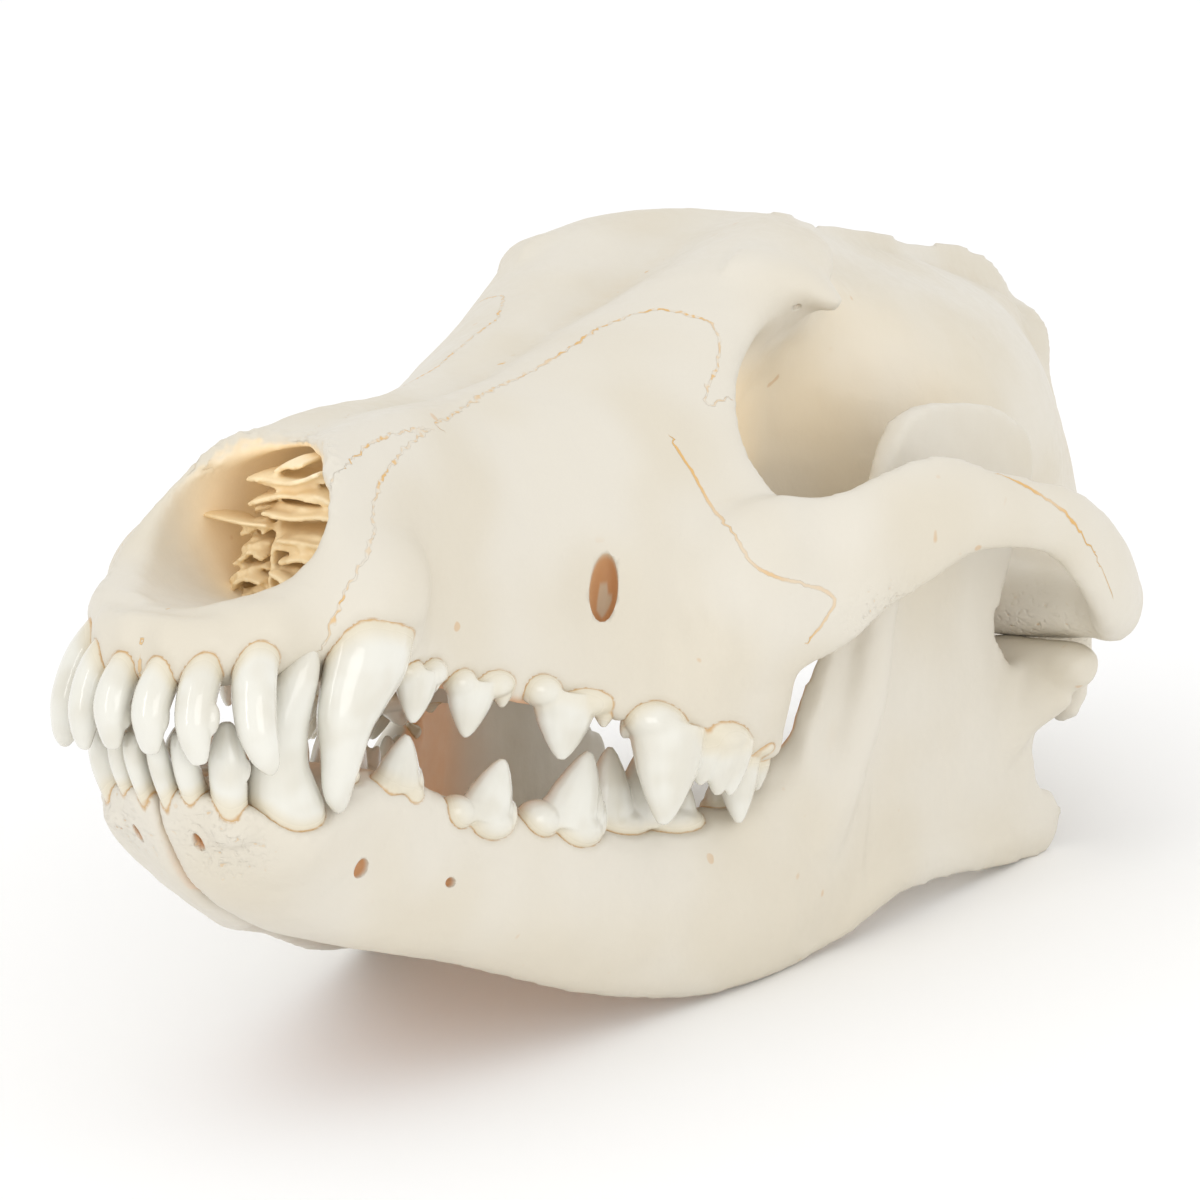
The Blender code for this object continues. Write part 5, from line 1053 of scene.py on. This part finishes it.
scrollForm = {
    "voxel": 0.36, "thickness": 0.7, "droop": 1.7,
    "near": {"count": 18, "lowest": 8.8, "step": 1.2, "front": 28.5, "back": 47, "bow": 0.9, "phase": 1.7},
    "far": {"count": 10, "lowest": 9.8, "step": 1.16, "front": 31, "back": 50, "bow": 1.1, "phase": 2.3},
    "deep": {"count": 5, "lowest": 19, "step": 2, "front": 41, "back": 58, "bow": 0.6, "phase": 1.3},
    # upright sheets: x, z of the foot and the top, and the y of the front
    "stems": [((-0.4, 8.5), (0.4, 26), 30.5), ((6.4, 9.5), (8, 28), 33), ((-6.6, 9), (-7.4, 20), 36)],
    "stemBack": 50,
    "stalk": [[-13.5, 35.5, 20.8, 0.8, 5], [-9, 33, 20.4, 0.6, 4], [-4, 31.6, 20, 0.5, 4],
              [0, 31, 20, 0.45, 3]],
}


def leaf(near, far, front, back, bow, phase):
    # a thin wavy sheet of bone that runs back into the nose; near and far are x, z of its two sides
    bm = bmesh.new()
    bmesh.ops.create_grid(bm, x_segments=21, y_segments=13, size=0.5)
    for vert in bm.verts:
        s, t = vert.co.x + 0.5, vert.co.y + 0.5
        x = near[0] + (far[0] - near[0]) * s
        z = near[1] + (far[1] - near[1]) * s + bow * math.sin(math.pi * s) + 0.3 * math.sin(8 * s + phase)
        z += 0.4 * math.sin(6 * t + phase + 2 * s) - scrollForm["droop"] * math.exp(-5 * t)
        edge = front + 2.2 * s ** 4 + 0.6 * math.sin(5 * s + phase * 2) + 0.3 * math.sin(23 * s + phase * 5)
        vert.co = (x, edge + (back - edge) * t, z)
    obj = newObject("leaf", bm)
    shell = obj.modifiers.new("shell", "SOLIDIFY")
    shell.thickness = scrollForm["thickness"]
    shell.offset = 0
    settle(obj)
    return obj


def wallAt(z):
    # half the nose's width at a height
    return 0.3 + 13.2 * (1 - min(1, abs(z - 19.8) / 12) ** 2.3) ** 0.43


def rowOfLeaves(row):
    # the number and the height of each leaf
    return [(k, row["lowest"] + row["step"] * k) for k in range(row["count"])]


print("scrolls")
leaves = []
row = scrollForm["near"]
for k, low in rowOfLeaves(row):
    # the upper leaves reach past the middle
    reach = -3.8 + 2.4 * math.sin(k * 1.9) if k > 10 else 1.4 * math.sin(k * 2.3)
    high = low + 0.16 * (k - 8) + 0.5 + 0.7 * math.sin(k * 3.1)
    leaves.append(leaf((wallAt(high), high), (reach, low + 0.6), row["front"] + 1.6 * math.sin(k * 2.7),
                       row["back"], row["bow"] * math.cos(k), k * row["phase"]))
row = scrollForm["far"]
for k, low in rowOfLeaves(row):
    # they hang from the middle and drop towards the wall
    leaves.append(leaf((-1.5, low + 1.4), (-10.5 + 0.4 * k, low - 2.6 + 0.3 * k),
                       row["front"] + 1.1 * math.sin(k * 2.1), row["back"], row["bow"], k * row["phase"]))
row = scrollForm["deep"]
for k, low in rowOfLeaves(row):
    leaves.append(leaf((1, low), (0.5 - wallAt(low), low + 0.6), row["front"] + math.sin(k * 3), row["back"],
                       row["bow"], k * row["phase"]))
for k, (foot, top, front) in enumerate(scrollForm["stems"]):
    leaves.append(leaf(foot, top, front, scrollForm["stemBack"], 0, k + 1))
leaves.append(horn("stalk", scrollForm["stalk"]))
scrolls = fuse("noseScrolls", leaves, scrollForm["voxel"])
relax(scrolls, 1)
# sunk drives the painted shade in the hollows between the scrolls
keep(scrolls, "sunk", hollows(scrolls, 16) * 1.5)
co = points(scrolls)
depth = co[:, 1] + np.minimum(co[:, 0], 0) * 0.5
keep(scrolls, "inner", np.clip((depth - 31) / 9, 0, 1) * 0.7)
keepEven(scrolls, farOff, sutureLabels + ["socket"])
keepEven(scrolls, 0, ["porous", "hole", "mouth"])
print("scroll triangles", triangles(scrolls))


# Left and right, and into place

jawTwin = mirrored(jaw, "rightJawBone")
for crownName, crown in crowns.items():
    twin = mirrored(crown, "right_" + crownName + "_crown")
    crown.name = "left_" + crownName + "_crown"
    seat(crown, enamelLook, ["left_" + crownName])
    seat(twin, enamelLook, ["right_" + crownName])
seat(skull, boneLook, ["cranium"])
seat(scrolls, scrollLook, ["cranium"])
seat(jaw, boneLook, ["left_dentary"])
seat(jawTwin, boneLook, ["right_dentary"])
discard(upperTwins)
for material in list(bpy.data.materials):
    if material.users == 0:
        bpy.data.materials.remove(material)


# Camera, floor and light

studio = {
    "cameraAt": (418, -569.45, 46.91), "cameraAim": (5.99, 115.3, 9.97),       # in the skull's frame
    "cameraRoll": -2.549, "lens": 147.589,
    "floorColour": (0.975, 0.975, 0.975, 1), "worldStrength": 1.02,
    # area lights: name, place, width, height and watts
    "lights": [("overhead", (-0.3, -0.2, 1.1), 0.9, 0.9, 0.5),
               ("frontLeft", (-0.2, -1.3, 0.45), 0.14, 1.2, 1.8),
               ("cameraSide", (1.1, -0.7, 0.3), 0.8, 0.8, 3)],
    "lightAim": (0, 0, 0.05),
}


def placeCamera():
    at, aim = (skullToWorld @ Vector(studio[key]) for key in ("cameraAt", "cameraAim"))
    turn = (at - aim).to_track_quat("Z", "Y").to_matrix().to_4x4()
    roll = Matrix.Rotation(math.radians(studio["cameraRoll"]), 4, "Z")
    camera = bpy.data.objects.new("photoCamera", bpy.data.cameras.new("photoCamera"))
    bpy.context.scene.collection.objects.link(camera)
    camera.data.lens = studio["lens"]
    camera.data.sensor_width = 36
    camera.data.clip_start = 0.05
    camera.data.clip_end = 20
    camera.matrix_world = Matrix.Translation(at) @ turn @ roll
    bpy.context.scene.camera = camera


def floorAndWorld():
    bm = bmesh.new()
    bmesh.ops.create_grid(bm, x_segments=1, y_segments=1, size=6)
    floor = newObject("floor", bm)
    material, start, surface = newMaterial("floorLook")
    surface.inputs["Base Color"].default_value = studio["floorColour"]
    surface.inputs["Roughness"].default_value = 0.9
    floor.data.materials.append(material)
    world = bpy.data.worlds.new("studio")
    world.use_nodes = True
    background = world.node_tree.nodes["Background"]
    background.inputs["Color"].default_value = (1, 1, 1, 1)
    background.inputs["Strength"].default_value = studio["worldStrength"]
    bpy.context.scene.world = world


def softLight(name, at, wide, tall, watts):
    light = bpy.data.lights.new(name, "AREA")
    light.shape = "RECTANGLE"
    light.size = wide
    light.size_y = tall
    light.energy = watts
    lamp = bpy.data.objects.new(name, light)
    bpy.context.scene.collection.objects.link(lamp)
    lamp.location = at
    lamp.rotation_mode = "QUATERNION"
    lamp.rotation_quaternion = (Vector(at) - Vector(studio["lightAim"])).to_track_quat("Z", "Y")


placeCamera()
floorAndWorld()
for light in studio["lights"]:
    softLight(*light)
bpy.context.scene.view_settings.view_transform = "Standard"
